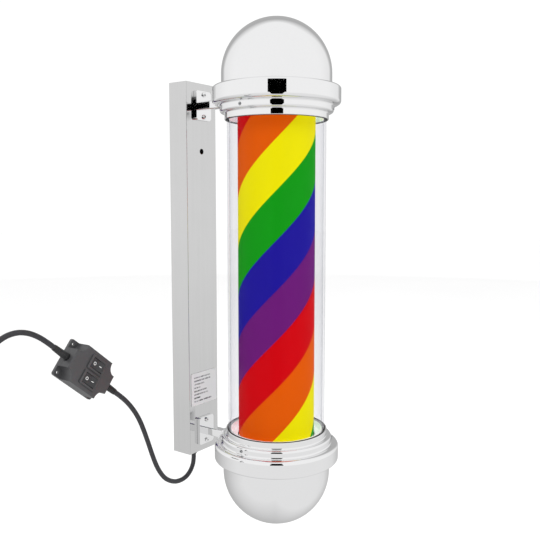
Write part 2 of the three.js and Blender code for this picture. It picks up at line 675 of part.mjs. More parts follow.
// Free cord, the coil of its spare length, the tie round it and the plug.
function coilRing() {
  const section = [];
  const sides = 10;
  for (let i = 0; i <= sides; i += 1) {
    const angle = (2 * Math.PI * (i % sides)) / sides;
    section.push(new THREE.Vector2(COIL_TURN_R + COIL_ACROSS * Math.cos(angle), COIL_DEEP * Math.sin(angle)));
  }
  return new THREE.LatheGeometry(section, 28).translate(...COIL_CENTRE);
}

// A flat band round the bundle, made along Z and then turned to the bundle's direction.
function coilTie() {
  const outline = roundedOutline(2 * COIL_ACROSS + 4, 2 * COIL_DEEP + 4, 6);
  outline.holes.push(roundedOutline(2 * COIL_ACROSS + 1.2, 2 * COIL_DEEP + 1.2, 4.6));
  const band = new THREE.ExtrudeGeometry(outline, { depth: 6, bevelEnabled: false, curveSegments: 4 });
  const angle = THREE.MathUtils.degToRad(TIE_ANGLE);
  const [x, y, z] = COIL_CENTRE;
  band.translate(COIL_TURN_R, 0, -3).rotateY(-angle);
  return band.translate(x, y, z);
}

// Two-pin plug that hangs below the coil, cord end up.
function plug() {
  const [x, y, z] = PLUG_TOP;
  const relief = turned([[0, z], [4.3, z], [6.2, z - 30], [0, z - 30]], SMALL_ROUND, x, y);
  const grip = plate(roundedOutline(26, 32, 5), 9, -9).translate(x, y, z - 45);
  const pins = [-6.35, 6.35].map((offset) => box([1.6, 6.4, 17], [x + offset, y, z - 69]));
  return joined(relief, grip, ...pins);
}

function addCords() {
  add('cord_to_switch', tube(CORD_TO_SWITCH, CORD_D, 10), 'rubber');
  add('cord_to_coil', tube(CORD_TO_COIL, CORD_D, 10), 'rubber');
  add('cord_coil', coilRing(), 'rubber');
  add('cord_tie', coilTie(), 'darkPlastic');
  add('plug', plug(), 'rubber');
}

addBracket();
addArms();
addCap('upper', (geometry) => geometry);
addCap('lower', mirroredInZ);
addDrive();
addDrum();
addLight();
addWiring();
addGland();
addSwitchBox();
addGrommets();
addCords();

export default root;
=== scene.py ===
"""Barber pole light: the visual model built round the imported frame.

Shapes are drawn in millimetres in the part's frame (+Z up, wall at y = 0, pole towards -Y)
and scaled to metres when each piece is finished.
"""
import math

import bmesh
import bpy
from mathutils import Matrix, Vector


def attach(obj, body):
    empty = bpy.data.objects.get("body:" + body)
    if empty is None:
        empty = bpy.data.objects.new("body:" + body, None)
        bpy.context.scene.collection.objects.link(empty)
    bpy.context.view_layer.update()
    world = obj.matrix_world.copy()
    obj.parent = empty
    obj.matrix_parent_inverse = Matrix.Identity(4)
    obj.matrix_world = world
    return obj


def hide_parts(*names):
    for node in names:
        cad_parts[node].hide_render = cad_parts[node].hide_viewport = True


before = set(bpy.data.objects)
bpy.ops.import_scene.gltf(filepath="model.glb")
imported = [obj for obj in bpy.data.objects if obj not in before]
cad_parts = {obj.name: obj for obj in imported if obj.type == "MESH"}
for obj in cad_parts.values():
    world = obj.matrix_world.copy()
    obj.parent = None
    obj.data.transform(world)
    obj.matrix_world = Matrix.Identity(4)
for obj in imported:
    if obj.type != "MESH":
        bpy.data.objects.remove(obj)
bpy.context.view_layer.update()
scene = bpy.context.scene
scene.view_settings.view_transform = "Standard"

MM = 0.001
GAP = 0.3                   # air left between pieces that touch
POLE_Y = -169.0

# Camera -------------------------------------------------------------------------
CAMERA_PLACE = Vector((-0.79287, -0.72982, 0.1036))
CAMERA_TURN = math.radians(-54.2)
CAMERA_DIP = math.radians(5.55)
CAMERA_LENS = 46.78         # mm, on a sensor 36 mm wide
FORWARD = Vector((-math.sin(CAMERA_TURN), math.cos(CAMERA_TURN), 0))    # level, from the camera
RIGHT = Vector((math.cos(CAMERA_TURN), math.sin(CAMERA_TURN), 0))


def add_camera():
    data = bpy.data.cameras.new("camera")
    data.lens = CAMERA_LENS
    data.sensor_width = 36.0
    data.clip_start = 0.01
    camera = bpy.data.objects.new("camera", data)
    camera.location = CAMERA_PLACE
    camera.rotation_euler = (math.pi / 2 - CAMERA_DIP, 0.0, CAMERA_TURN)
    scene.collection.objects.link(camera)
    scene.camera = camera


add_camera()


# Materials ----------------------------------------------------------------------
def setting(node, socket, value):
    node.inputs[socket].default_value = value


def start_material(name):
    material = bpy.data.materials.new(name)
    material.use_nodes = True
    tree = material.node_tree
    tree.nodes.clear()
    output = tree.nodes.new("ShaderNodeOutputMaterial")
    return material, tree, output


def wire(tree, source, socket):
    tree.links.new(source, socket)


def math_node(tree, operation, a, b=None, c=None):
    node = tree.nodes.new("ShaderNodeMath")
    node.operation = operation
    for socket, value in zip(node.inputs, (a, b, c)):
        if value is None:
            continue
        if isinstance(value, (int, float)):
            socket.default_value = value
        else:
            wire(tree, value, socket)
    return node.outputs[0]


def times(tree, a, b):
    return math_node(tree, "MULTIPLY", a, b)


def noise(tree, coords, scale, detail=3.0, stretch=(1, 1, 1)):
    mapping = tree.nodes.new("ShaderNodeMapping")
    setting(mapping, "Scale", stretch)
    wire(tree, coords, mapping.inputs["Vector"])
    node = tree.nodes.new("ShaderNodeTexNoise")
    setting(node, "Scale", scale)
    setting(node, "Detail", detail)
    wire(tree, mapping.outputs[0], node.inputs["Vector"])
    return node.outputs["Fac"]


def spread(tree, value, low, high, from_low=0.3, from_high=0.7):
    node = tree.nodes.new("ShaderNodeMapRange")
    setting(node, "From Min", from_low)
    setting(node, "From Max", from_high)
    setting(node, "To Min", low)
    setting(node, "To Max", high)
    wire(tree, value, node.inputs["Value"])
    return node.outputs[0]


def mix_colour(tree, factor, a, b, blend="MIX"):
    node = tree.nodes.new("ShaderNodeMix")
    node.data_type = "RGBA"
    node.blend_type = blend
    sockets = [s for s in node.inputs if s.enabled]
    for socket, value in zip(sockets, (factor, a, b)):
        if isinstance(value, (int, float)):
            socket.default_value = value
        elif isinstance(value, tuple):
            socket.default_value = (*value[:3], 1.0)
        else:
            wire(tree, value, socket)
    return [s for s in node.outputs if s.enabled][0]


def object_coords(tree):
    return tree.nodes.new("ShaderNodeTexCoord").outputs["Object"]


def axes(tree, vector):
    parts = tree.nodes.new("ShaderNodeSeparateXYZ")
    wire(tree, vector, parts.inputs[0])
    return parts.outputs


def start_surface(name):
    material, tree, output = start_material(name)
    shader = tree.nodes.new("ShaderNodeBsdfPrincipled")
    wire(tree, shader.outputs[0], output.inputs["Surface"])
    return material, tree, shader, object_coords(tree)


def roughen(tree, shader, height, strength, depth):
    bump = tree.nodes.new("ShaderNodeBump")
    setting(bump, "Strength", strength)
    setting(bump, "Distance", depth)
    wire(tree, height, bump.inputs["Height"])
    wire(tree, bump.outputs[0], shader.inputs["Normal"])


PLASTIC_IOR = 1.5


def surface(name, colour, roughness, metallic=0.0, grain=900.0, blotch=30.0, stretch=(1, 1, 1),
            tint=0.06, rough_span=0.06, bump=0.05, depth=0.0002):
    """A Principled surface whose colour, roughness and bump vary with fine grain and broad blotches."""
    material, tree, shader, coords = start_surface(name)
    fine = noise(tree, coords, grain, 4.0, stretch)
    broad = noise(tree, coords, blotch, 2.0)
    both = math_node(tree, "MULTIPLY_ADD", fine, 0.5, times(tree, broad, 0.5))
    dark = tuple(c * (1 - tint) for c in colour)
    light = tuple(min(c * (1 + tint), 1.0) for c in colour)
    wire(tree, mix_colour(tree, spread(tree, both, 0.0, 1.0), dark, light), shader.inputs["Base Color"])
    rough = spread(tree, both, max(roughness - rough_span, 0.0), roughness + rough_span)
    wire(tree, rough, shader.inputs["Roughness"])
    setting(shader, "Metallic", metallic)
    setting(shader, "IOR", PLASTIC_IOR)
    if bump:
        roughen(tree, shader, fine, bump, depth)
    return material


TUBE_SHEEN = 0.0015         # share of light that the tube mirrors head on
TUBE_EDGE_SHEEN = 0.75      # and at a grazing angle


def clear_tube_material():
    """Clear acrylic wall: see-through, with a mirror sheen that grows at the edges and a faint grey tint."""
    material, tree, output = start_material("clear_tube")
    see = tree.nodes.new("ShaderNodeBsdfTransparent")
    gloss = tree.nodes.new("ShaderNodeBsdfGlossy")
    mix = tree.nodes.new("ShaderNodeMixShader")
    weight = tree.nodes.new("ShaderNodeLayerWeight")
    setting(weight, "Blend", 0.5)
    facing = weight.outputs["Facing"]
    coords = object_coords(tree)
    streaks = noise(tree, coords, 60.0, 3.0, (1.0, 1.0, 0.15))
    wire(tree, spread(tree, streaks, 0.015, 0.06), gloss.inputs["Roughness"])
    setting(gloss, "Color", (0.93, 0.94, 0.96, 1))
    grazing = math_node(tree, "POWER", facing, 5.0)
    sheen = math_node(tree, "MULTIPLY_ADD", grazing, TUBE_EDGE_SHEEN, TUBE_SHEEN)
    backfacing = tree.nodes.new("ShaderNodeNewGeometry").outputs["Backfacing"]
    outside = math_node(tree, "SUBTRACT", 1.0, backfacing)
    wire(tree, times(tree, sheen, outside), mix.inputs["Fac"])
    edge = spread(tree, facing, 0.0, 1.0, 0.35, 1.0)
    haze = mix_colour(tree, spread(tree, streaks, 0.0, 1.0), (0.938, 0.938, 0.943), (0.95, 0.95, 0.953))
    wire(tree, mix_colour(tree, edge, haze, (0.925, 0.925, 0.94)), see.inputs["Color"])
    wire(tree, see.outputs[0], mix.inputs[1])
    wire(tree, gloss.outputs[0], mix.inputs[2])
    wire(tree, mix.outputs[0], output.inputs["Surface"])
    return material


STRIPE_COLOURS = [
    (0.72, 0.098, 0.0015), (0.82, 0.74, 0.0015), (0.006, 0.30, 0.008),
    (0.014, 0.009, 0.30), (0.14, 0.011, 0.17), (0.60, 0.0015, 0.005),
]
STRIPE_RISE = 0.05487       # metres that a stripe climbs per radian round the drum
STRIPE_PITCH = 0.06645      # height from one stripe to the next
STRIPE_PHASE = 0.30522      # moves all the stripes up the drum
STRIPES = len(STRIPE_COLOURS)
FILM_PAINTED_GLOW = 0.34            # painted glow: the film shines in its printed colour by itself, in place of light from the strips inside
SEAM_EDGE = 0.012           # half of the seam's width, in radians round the drum


def film_material():
    """Printed film on the drum: six slanting stripes, a faint print grain, a glued seam at the back, a
    painted glow.
    """
    material, tree, shader, coords = start_surface("rainbow_film")
    x, y, z = axes(tree, coords)
    away = math_node(tree, "MULTIPLY_ADD", y, -1.0, POLE_Y * MM)
    angle = math_node(tree, "ARCTAN2", x, away)
    climb = math_node(tree, "MULTIPLY_ADD", angle, STRIPE_RISE, STRIPE_PHASE)
    stripe = math_node(tree, "DIVIDE", math_node(tree, "SUBTRACT", climb, z), STRIPE_PITCH)
    place = math_node(tree, "FRACT", math_node(tree, "DIVIDE", stripe, float(STRIPES)))
    ramp = tree.nodes.new("ShaderNodeValToRGB")
    ramp.color_ramp.interpolation = "CONSTANT"
    stops = ramp.color_ramp.elements
    stops.remove(stops[1])
    stops[0].position = 0.0
    stops[0].color = (*STRIPE_COLOURS[0], 1)
    for i in range(1, STRIPES):
        stop = stops.new(i / STRIPES)
        stop.color = (*STRIPE_COLOURS[i], 1)
    wire(tree, place, ramp.inputs[0])
    grain = noise(tree, coords, 1800.0, 3.0)
    cloud = noise(tree, coords, 14.0, 2.0)
    shade = times(tree, spread(tree, grain, 0.76, 0.78), spread(tree, cloud, 0.97, 1.01))
    seam = spread(tree, math_node(tree, "ABSOLUTE", angle), 1.0, 0.6, math.pi - SEAM_EDGE,
                  math.pi - SEAM_EDGE / 2)
    printed = mix_colour(tree, 1.0, ramp.outputs[0], times(tree, shade, seam), "MULTIPLY")
    wire(tree, printed, shader.inputs["Base Color"])
    # Painted glow: the printed colour is also emitted, which evens out the shade towards the drum's ends.
    wire(tree, printed, shader.inputs["Emission Color"])
    setting(shader, "Emission Strength", FILM_PAINTED_GLOW)
    wire(tree, spread(tree, cloud, 0.44, 0.56), shader.inputs["Roughness"])
    setting(shader, "Specular IOR Level", 0.02)
    roughen(tree, shader, grain, 0.02, 0.00005)
    return material


LABEL_LINE = 0.0052         # metres from one line of bars to the next
LABEL_BARS_LEFT = -0.0225
LABEL_BARS_TOP = -0.1595
LABEL_BARS_FOOT = -0.1985


def label_material():
    """Satin label film with lines of plain grey bars where print would be."""
    material, tree, shader, coords = start_surface("label_film")
    x, _, z = axes(tree, coords)
    line = math_node(tree, "DIVIDE", z, LABEL_LINE)
    row = math_node(tree, "FLOOR", line)
    random = tree.nodes.new("ShaderNodeTexWhiteNoise")
    random.noise_dimensions = "1D"
    wire(tree, row, random.inputs["W"])
    in_line = math_node(tree, "LESS_THAN", math_node(tree, "FRACT", line), 0.42)
    right_end = math_node(tree, "MULTIPLY_ADD", random.outputs["Value"], 0.032, -0.012)
    in_width = math_node(tree, "LESS_THAN", x, right_end)
    past_left = math_node(tree, "GREATER_THAN", x, LABEL_BARS_LEFT)
    below_top = math_node(tree, "LESS_THAN", z, LABEL_BARS_TOP)
    above_foot = math_node(tree, "GREATER_THAN", z, LABEL_BARS_FOOT)
    inside = times(tree, times(tree, in_width, past_left), times(tree, below_top, above_foot))
    words = times(tree, in_line, inside)
    letters = noise(tree, coords, 900.0, 1.0, (1.0, 1.0, 0.25))
    ink = times(tree, words, spread(tree, letters, 0.25, 1.0, 0.42, 0.56))
    fibre = noise(tree, coords, 1500.0, 3.0)
    paper = mix_colour(tree, spread(tree, fibre, 0.0, 1.0), (0.70, 0.70, 0.705), (0.75, 0.75, 0.75))
    wire(tree, mix_colour(tree, ink, paper, (0.06, 0.06, 0.065)), shader.inputs["Base Color"])
    wire(tree, spread(tree, fibre, 0.32, 0.42), shader.inputs["Roughness"])
    return material


def brushed(name, colour, roughness, span, grain=260.0, stretch=(1.0, 1.0, 0.03), bump=0.03):
    return surface(name, colour, roughness, 1.0, grain, 18.0, stretch, 0.02, span, bump, 0.00004)


MATERIALS = {
    "chrome": surface("chrome", (0.86, 0.86, 0.865), 0.035, 1.0, 500.0, 14.0, (1, 1, 1), 0.012, 0.02, 0.0),
    "bracket_steel": brushed("bracket_steel", (0.635, 0.635, 0.635), 0.045, 0.015, bump=0.008),
    "zinc": surface("zinc_steel", (0.44, 0.45, 0.46), 0.34, 1.0, 420.0, 35.0, tint=0.12, rough_span=0.1,
                    bump=0.12, depth=0.0001),
    "shaft": brushed("shaft_steel", (0.62, 0.62, 0.63), 0.18, 0.06, 700.0, (1.0, 1.0, 20.0)),
    "tube": clear_tube_material(),
    "film": film_material(),
    "label": label_material(),
    "white_plastic": surface("white_plastic", (0.78, 0.77, 0.74), 0.42, 0.0, 1400.0, 22.0, tint=0.03,
                             bump=0.06),
    "aluminium": brushed("aluminium", (0.70, 0.71, 0.72), 0.3, 0.08, 420.0),
    "light_strip": surface("light_strip", (0.86, 0.80, 0.62), 0.4, 0.0, 160.0, 40.0, (1, 1, 6), tint=0.1,
                           rough_span=0.1, bump=0.1),
    "seal": surface("seal_rubber", (0.82, 0.82, 0.81), 0.5, 0.0, 1200.0, 30.0, tint=0.2, bump=0.15),
    # white end rings; they are given a painted glow in finish_kept_nodes
    "glow_painted_ring": surface("glow_painted_end_ring", (0.84, 0.84, 0.84), 0.35, 0.0, 1200.0, 30.0, tint=0.02, bump=0.03),
    "gasket": surface("gasket_rubber", (0.02, 0.02, 0.022), 0.5, 0.0, 1200.0, 30.0, tint=0.2, bump=0.15),
    "lead": surface("lead_sheath", (0.55, 0.55, 0.53), 0.45, 0.0, 900.0, 30.0, tint=0.06, bump=0.06),
    "gland": surface("gland_plastic", (0.012, 0.012, 0.013), 0.3, 0.0, 1500.0, 30.0, tint=0.2, bump=0.05),
    "switch": surface("switch_plastic", (0.056, 0.056, 0.059), 0.36, 0.0, 2600.0, 26.0, tint=0.14,
                      rough_span=0.07, bump=0.25, depth=0.00012),
    "rocker": surface("rocker_plastic", (0.022, 0.022, 0.024), 0.26, 0.0, 1800.0, 40.0, tint=0.2,
                      rough_span=0.05, bump=0.05),
    "mark": surface("mark_paint", (0.80, 0.80, 0.79), 0.5, 0.0, 2500.0, 60.0, tint=0.04, bump=0.05),
    "cord": surface("cord_sheath", (0.021, 0.021, 0.025), 0.42, 0.0, 1100.0, 24.0, tint=0.18,
                    rough_span=0.07, bump=0.12),
    "strap": surface("tie_webbing", (0.02, 0.02, 0.022), 0.85, 0.0, 2200.0, 30.0, tint=0.3, bump=0.6,
                     depth=0.0003),
    "brass": surface("plug_brass", (0.70, 0.56, 0.30), 0.24, 1.0, 700.0, 50.0, tint=0.08, bump=0.05),
    "dark_metal": surface("motor_paint", (0.30, 0.31, 0.32), 0.4, 1.0, 600.0, 30.0, tint=0.1, bump=0.1),
}


# Mesh helpers, in millimetres -----------------------------------------------------
def link(bm, name="solid"):
    bmesh.ops.recalc_face_normals(bm, faces=bm.faces)
    mesh = bpy.data.meshes.new(name)
    bm.to_mesh(mesh)
    bm.free()
    solid = bpy.data.objects.new(name, mesh)
    scene.collection.objects.link(solid)
    return solid


def shift(by):
    return Matrix.Translation(by)


def pointing(direction, axis="Z"):
    return Vector(direction).to_track_quat(axis, "Y").to_matrix().to_4x4()


def bevel(bm, edges, width, steps):
    bmesh.ops.bevel(bm, geom=edges, offset=width, segments=steps, profile=0.5, affect="EDGES")


def rounded(corners, steps=5):
    """A closed outline of (x, y, radius) corners with each corner rounded to its radius."""
    outline = []
    for i, (x, y, radius) in enumerate(corners):
        here = Vector((x, y))
        if radius <= 0:
            outline.append((x, y))
            continue
        before = (Vector(corners[i - 1][:2]) - here).normalized()
        after = (Vector(corners[(i + 1) % len(corners)][:2]) - here).normalized()
        half = before.angle(after) / 2
        centre = here + (before + after).normalized() * (radius / math.sin(half))
        first = here + before * (radius / math.tan(half)) - centre
        last = here + after * (radius / math.tan(half)) - centre
        sweep = math.pi - 2 * half
        for k in range(steps + 1):
            t = k / steps
            swung = first * math.sin((1 - t) * sweep) + last * math.sin(t * sweep)
            point = centre + swung / math.sin(sweep)
            outline.append((point.x, point.y))
    return outline


def lathe(profile, segments=128, x=0.0, y=POLE_Y, closed=True):
    """A solid turned about the vertical line through (x, y); profile points are (radius, z)."""
    bm = bmesh.new()
    rings = []
    for radius, z in profile:
        if radius < 1e-6:
            rings.append([bm.verts.new((x, y, z))])
            continue
        turn = [2 * math.pi * i / segments for i in range(segments)]
        rings.append([bm.verts.new((x + radius * math.cos(a), y + radius * math.sin(a), z)) for a in turn])
    following = rings[1:] + rings[:1] if closed else rings[1:]
    for low, high in zip(rings, following):
        if len(low) == 1 and len(high) == 1:
            continue
        for i in range(segments):
            j = (i + 1) % segments
            corners = [low[i % len(low)], low[j % len(low)], high[j % len(high)], high[i % len(high)]]
            bm.faces.new(list(dict.fromkeys(corners)))
    return link(bm)


def rect(width, height, radius, steps=5):
    w, h = width / 2, height / 2
    return rounded([(-w, -h, radius), (w, -h, radius), (w, h, radius), (-w, h, radius)], steps)


def plate(outline, back, front, edge=0.0, steps=3, back_edge=0.0):
    """A flat solid with its outline in X and Z, from y = back out to y = front, with rounded rims."""
    bm = bmesh.new()
    rear = [bm.verts.new((x, back, z)) for x, z in outline]
    fore = [bm.verts.new((x, front, z)) for x, z in outline]
    bm.faces.new(rear)
    bm.faces.new(list(reversed(fore)))
    for i in range(len(outline)):
        j = (i + 1) % len(outline)
        bm.faces.new([rear[i], fore[i], fore[j], rear[j]])
    for width, y in ((edge, front), (back_edge, back)):
        if width:
            rim = [e for e in bm.edges if all(abs(v.co.y - y) < 1e-6 for v in e.verts)]
            bevel(bm, rim, width, steps)
    return link(bm)


def block(size, centre, edge=0.0, steps=3):
    bm = bmesh.new()
    bmesh.ops.create_cube(bm, size=1.0)
    bmesh.ops.scale(bm, vec=size, verts=bm.verts)
    bmesh.ops.translate(bm, vec=centre, verts=bm.verts)
    if edge:
        bevel(bm, bm.edges[:], edge, steps)
    return link(bm)


def bar(radius, start, end, segments=40):
    """A round bar between two points."""
    start, end = Vector(start), Vector(end)
    bm = bmesh.new()
    bmesh.ops.create_cone(bm, cap_ends=True, segments=segments, radius1=radius, radius2=radius,
                          depth=(end - start).length)
    place = shift((start + end) / 2) @ pointing(end - start)
    bmesh.ops.transform(bm, matrix=place, verts=bm.verts)
    return link(bm)


def moved(solid, matrix):
    solid.data.transform(matrix)
    if matrix.determinant() < 0:
        solid.data.flip_normals()
    return solid


def combined(operation, solid, tools):
    for tool in tools:
        modifier = solid.modifiers.new("boolean", "BOOLEAN")
        modifier.operation = operation
        modifier.solver = "EXACT"
        modifier.object = tool
        evaluated = solid.evaluated_get(bpy.context.evaluated_depsgraph_get())
        mesh = bpy.data.meshes.new_from_object(evaluated)
        solid.modifiers.clear()
        solid.data = mesh
        bpy.data.objects.remove(tool)
    return solid


def cut(solid, *tools):
    return combined("DIFFERENCE", solid, tools)


def fused(solid, *tools):
    return combined("UNION", solid, tools)


def mirrored_in_z(solid):
    return moved(solid, Matrix.Scale(-1, 4, (0, 0, 1)))


def smooth(solid, angle=32.0):
    bm = bmesh.new()
    bm.from_mesh(solid.data)
    bmesh.ops.remove_doubles(bm, verts=bm.verts, dist=1e-4)
    bmesh.ops.dissolve_degenerate(bm, edges=bm.edges, dist=1e-5)
    limit = math.radians(angle)
    for face in bm.faces:
        face.smooth = True
    for edge in bm.edges:
        edge.smooth = len(edge.link_faces) == 2 and edge.calc_face_angle(0.0) < limit
    bm.to_mesh(solid.data)
    bm.free()


def finished(solid, name, material, slot, *nodes, body="frame", angle=32.0):
    """Names a solid, scales it to metres, shades it and puts it on its body in place of its CAD nodes."""
    smooth(solid, angle)
    solid.data.transform(Matrix.Scale(MM, 4))
    solid.name = name
    solid.data.name = name
    solid.data.materials.clear()
    solid.data.materials.append(MATERIALS[material])
    weighted = solid.modifiers.new("weighted_normals", "WEIGHTED_NORMAL")
    weighted.keep_sharp = True
    if nodes:
        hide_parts(*nodes)
    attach(solid, body)
    return solid


# Cords ---------------------------------------------------------------------------
CORD_D = 6.8
CORD_EXIT = (-6.0, -16.5)   # in X and Y, through the bottom of the bracket
CORD_TO_SWITCH = [
    (-6, -16.5, -284.3), (-6, -16.5, -287), (-6, -16.5, -290), (-8.1, -16.5, -300.5),
    (-14.1, -16.5, -309.5), (-23, -16.5, -315.4), (-33.5, -16.4, -317.5), (-46, -16.1, -316.3),
    (-58, -15.7, -311.3), (-69, -15.2, -303), (-78, -14.7, -291.5), (-85.3, -14.2, -278),
    (-91.7, -13.6, -262), (-98.5, -13, -243), (-106, -12.4, -223), (-114.5, -12, -204),
    (-125, -12, -187.5), (-137, -12, -173.2), (-149.1, -12, -161.9), (-158.43, -12, -154.33),
]
CORD_TO_COIL = [
    (-255.57, -12, -75.67), (-264.9, -12, -68.1), (-277, -12, -59.6), (-291, -12, -52.8),
    (-306, -12.2, -49.8), (-321.5, -12.6, -51.6), (-335.5, -13, -58.2), (-346.5, -13.6, -69),
    (-354, -14.3, -83.5), (-358.6, -15, -100), (-361.2, -15.6, -118), (-362.4, -15.9, -138),
    (-362.8, -16, -160), (-362.8, -16, -183.2),
]
COIL_CENTRE = Vector((-406, -13, -214))
COIL_TURN_R = 38.0
COIL_LANES = [(5.2, -3), (-1.7, -3), (-8.6, -3), (-5.2, 3), (1.7, 3), (8.6, 3)]
COIL_TURNS = 5
LANE_SHIFT = 60.0           # degrees of a turn in which the cord moves to its next lane
LANE_REST = 8.0             # degrees between the shifts of neighbouring turns
LANE_LIFT = 0.6             # how far a shifting turn bows out of its layer
PLUG_TOP = Vector((-359.4, -10, -241.2))


POINTS_PER_SPAN = 6
COIL_STEP = 6.0             # degrees from one point of the coil to the next
STRAIGHT_STEP = 4.0
CORD_END_ROUND = 0.6


def route_points(route):
    """Points along a centripetal Catmull-Rom curve through the route."""
    points = [Vector(p) for p in route]
    first = points[0] * 2 - points[1]
    last = points[-1] * 2 - points[-2]
    padded = [first, *points, last]
    found = []
    for i in range(len(points) - 1):
        p0, p1, p2, p3 = padded[i:i + 4]
        d0, d1, d2 = ((b - a).length ** 0.5 for a, b in ((p0, p1), (p1, p2), (p2, p3)))
        t1 = ((p1 - p0) / d0 - (p2 - p0) / (d0 + d1) + (p2 - p1) / d1) * d1
        t2 = ((p2 - p1) / d1 - (p3 - p1) / (d1 + d2) + (p3 - p2) / d2) * d1
        c2 = p2 * 3 - p1 * 3 - t1 * 2 - t2
        c3 = p1 * 2 - p2 * 2 + t1 + t2
        for k in range(POINTS_PER_SPAN):
            t = k / POINTS_PER_SPAN
            found.append(p1 + t1 * t + c2 * t * t + c3 * t ** 3)
    return found + [points[-1]]


def coil_point(degrees, lane_r, lane_y):
    angle = math.radians(degrees)
    radius = COIL_TURN_R + lane_r
    offset = Vector((radius * math.cos(angle), lane_y, radius * math.sin(angle)))
    return COIL_CENTRE + offset


def coil_points():
    """Five turns, clockwise from the right side, each moving one lane over inside its own window."""
    found = []
    total = int(360 * COIL_TURNS / COIL_STEP)
    for i in range(total + 1):
        passed = i * COIL_STEP
        turn = min(int(passed // 360), COIL_TURNS - 1)
        window = LANE_REST + (COIL_TURNS - 1 - turn) * (LANE_SHIFT + LANE_REST)
        t = min(max((passed - 360 * turn - window) / LANE_SHIFT, 0.0), 1.0)
        blend = t * t * (3 - 2 * t)
        (r0, y0), (r1, y1) = COIL_LANES[turn], COIL_LANES[turn + 1]
        lift = LANE_LIFT * math.sin(math.pi * t) * (-1.0 if y0 < 0 else 1.0)
        found.append(coil_point(-passed, r0 + (r1 - r0) * blend, y0 + (y1 - y0) * blend + lift))
    return found


def straight(start, end):
    start, end = Vector(start), Vector(end)
    count = max(int((end - start).length / STRAIGHT_STEP), 1)
    return [start.lerp(end, i / count) for i in range(count)]


def bridged(bm, low, high):
    """Faces between two rings of as many points."""
    for k in range(len(low)):
        j = (k + 1) % len(low)
        bm.faces.new([low[k], low[j], high[j], high[k]])


def sweep(points, radius, sides=20):
    """A round cord along the points, with softly rounded ends, as one closed solid."""
    bm = bmesh.new()
    tangents = []
    for i in range(len(points)):
        ahead, behind = points[min(i + 1, len(points) - 1)], points[max(i - 1, 0)]
        tangents.append((ahead - behind).normalized())
    side = tangents[0].orthogonal().normalized()
    sections = []
    stations = [(points[0], radius - CORD_END_ROUND, 0)]
    stations += [(p, radius, i) for i, p in enumerate(points)][1:-1]
    stations += [(points[-1], radius - CORD_END_ROUND, len(points) - 1)]
    for place, r, i in stations:
        side = (side - tangents[i] * side.dot(tangents[i])).normalized()
        other = tangents[i].cross(side)
        ring = []
        for k in range(sides):
            angle = 2 * math.pi * k / sides
            ring.append(bm.verts.new(place + (side * math.cos(angle) + other * math.sin(angle)) * r))
        sections.append(ring)
    for low, high in zip(sections, sections[1:]):
        bridged(bm, low, high)
    bm.faces.new(list(reversed(sections[0])))
    bm.faces.new(sections[-1])
    return link(bm)


GLAND_LOW = -284.0
BORE = CORD_D / 2 + 0.1     # the moulded sleeves fit close round the cord

SWITCH_TURN = math.radians(39)
SWITCH_MATRIX = shift((-207, 0, -115)) @ Matrix.Rotation(SWITCH_TURN, 4, "Y")
SWITCH_LENGTH = 75.0
SWITCH_WIDTH = 52.0
ENTRY_Y = -12.0


def on_wall(solid):
    return moved(solid, SWITCH_MATRIX)


def cord_gland():
    edge = -276.0
    outline = [(BORE, GLAND_LOW, 0), (4.4, GLAND_LOW, 0.4), (5.0, GLAND_LOW + 1.6, 0)]
    for k in range(2):
        z = GLAND_LOW + 1.7 + 0.9 * k
        outline += [(4.6 + 0.35 * k, z, 0.1), (5.5 + 0.35 * k, z + 0.5, 0.15)]
    outline += [
        (6.4, edge - 4, 0.3), (7.6, edge - 3, 0.5), (7.6, edge - 0.3, 0.4), (4.9, edge - 0.3, 0.1),
        (4.9, edge + 1.8, 0.1), (6.4, edge + 1.8, 0.3), (5.4, -263, 0.5), (BORE, -263, 0),
    ]
    return lathe(rounded(outline, 4), 64, *CORD_EXIT)


def grommet(side):
    """Ribbed strain relief that leaves one end of the switch box, drawn along Z and laid along X."""
    tip = 24.7
    outline = [(BORE, -8, 0), (5.0, -8, 0.3), (5.0, 3.0, 0.3)]
    ribs = 6
    for k in range(ribs):
        z = 4.0 + k * 3.1
        r = 4.85 - 0.75 * (k / ribs)
        outline += [(r - 0.55, z, 0.15), (r - 0.55, z + 0.9, 0.15), (r, z + 1.2, 0.2), (r, z + 2.7, 0.2)]
    outline += [(4.0, tip - 1.2, 0.1), (4.0, tip, 0.35), (BORE, tip, 0)]
    solid = lathe(rounded(outline, 3), 56, 0.0, 0.0)
    turn = Matrix.Rotation(side * math.pi / 2, 4, "Y")
    return on_wall(moved(solid, shift((side * SWITCH_LENGTH / 2, ENTRY_Y, 0)) @ turn))


def cord_tie():
    angle = math.radians(130)
    outer = rect(28, 18, 6, 6)
    inner = rect(25.2, 15.2, 4.8, 6)
    bm = bmesh.new()
    rings = []
    for outline, z, inset in ((inner, -3, 0.0), (outer, -3, 0.5), (outer, -2.5, 0.0), (outer, 2.5, 0.0),
                              (outer, 3, 0.5), (inner, 3, 0.0)):
        shrink_x, shrink_y = 1 - 2 * inset / 28, 1 - 2 * inset / 18
        rings.append([bm.verts.new((x * shrink_x, y * shrink_y, z)) for x, y in outline])
    for low, high in zip(rings, rings[1:] + rings[:1]):
        bridged(bm, low, high)
    band = link(bm)
    turn = shift(COIL_CENTRE) @ Matrix.Rotation(-angle, 4, "Y")
    return moved(band, turn @ shift((COIL_TURN_R, 0, 0)))


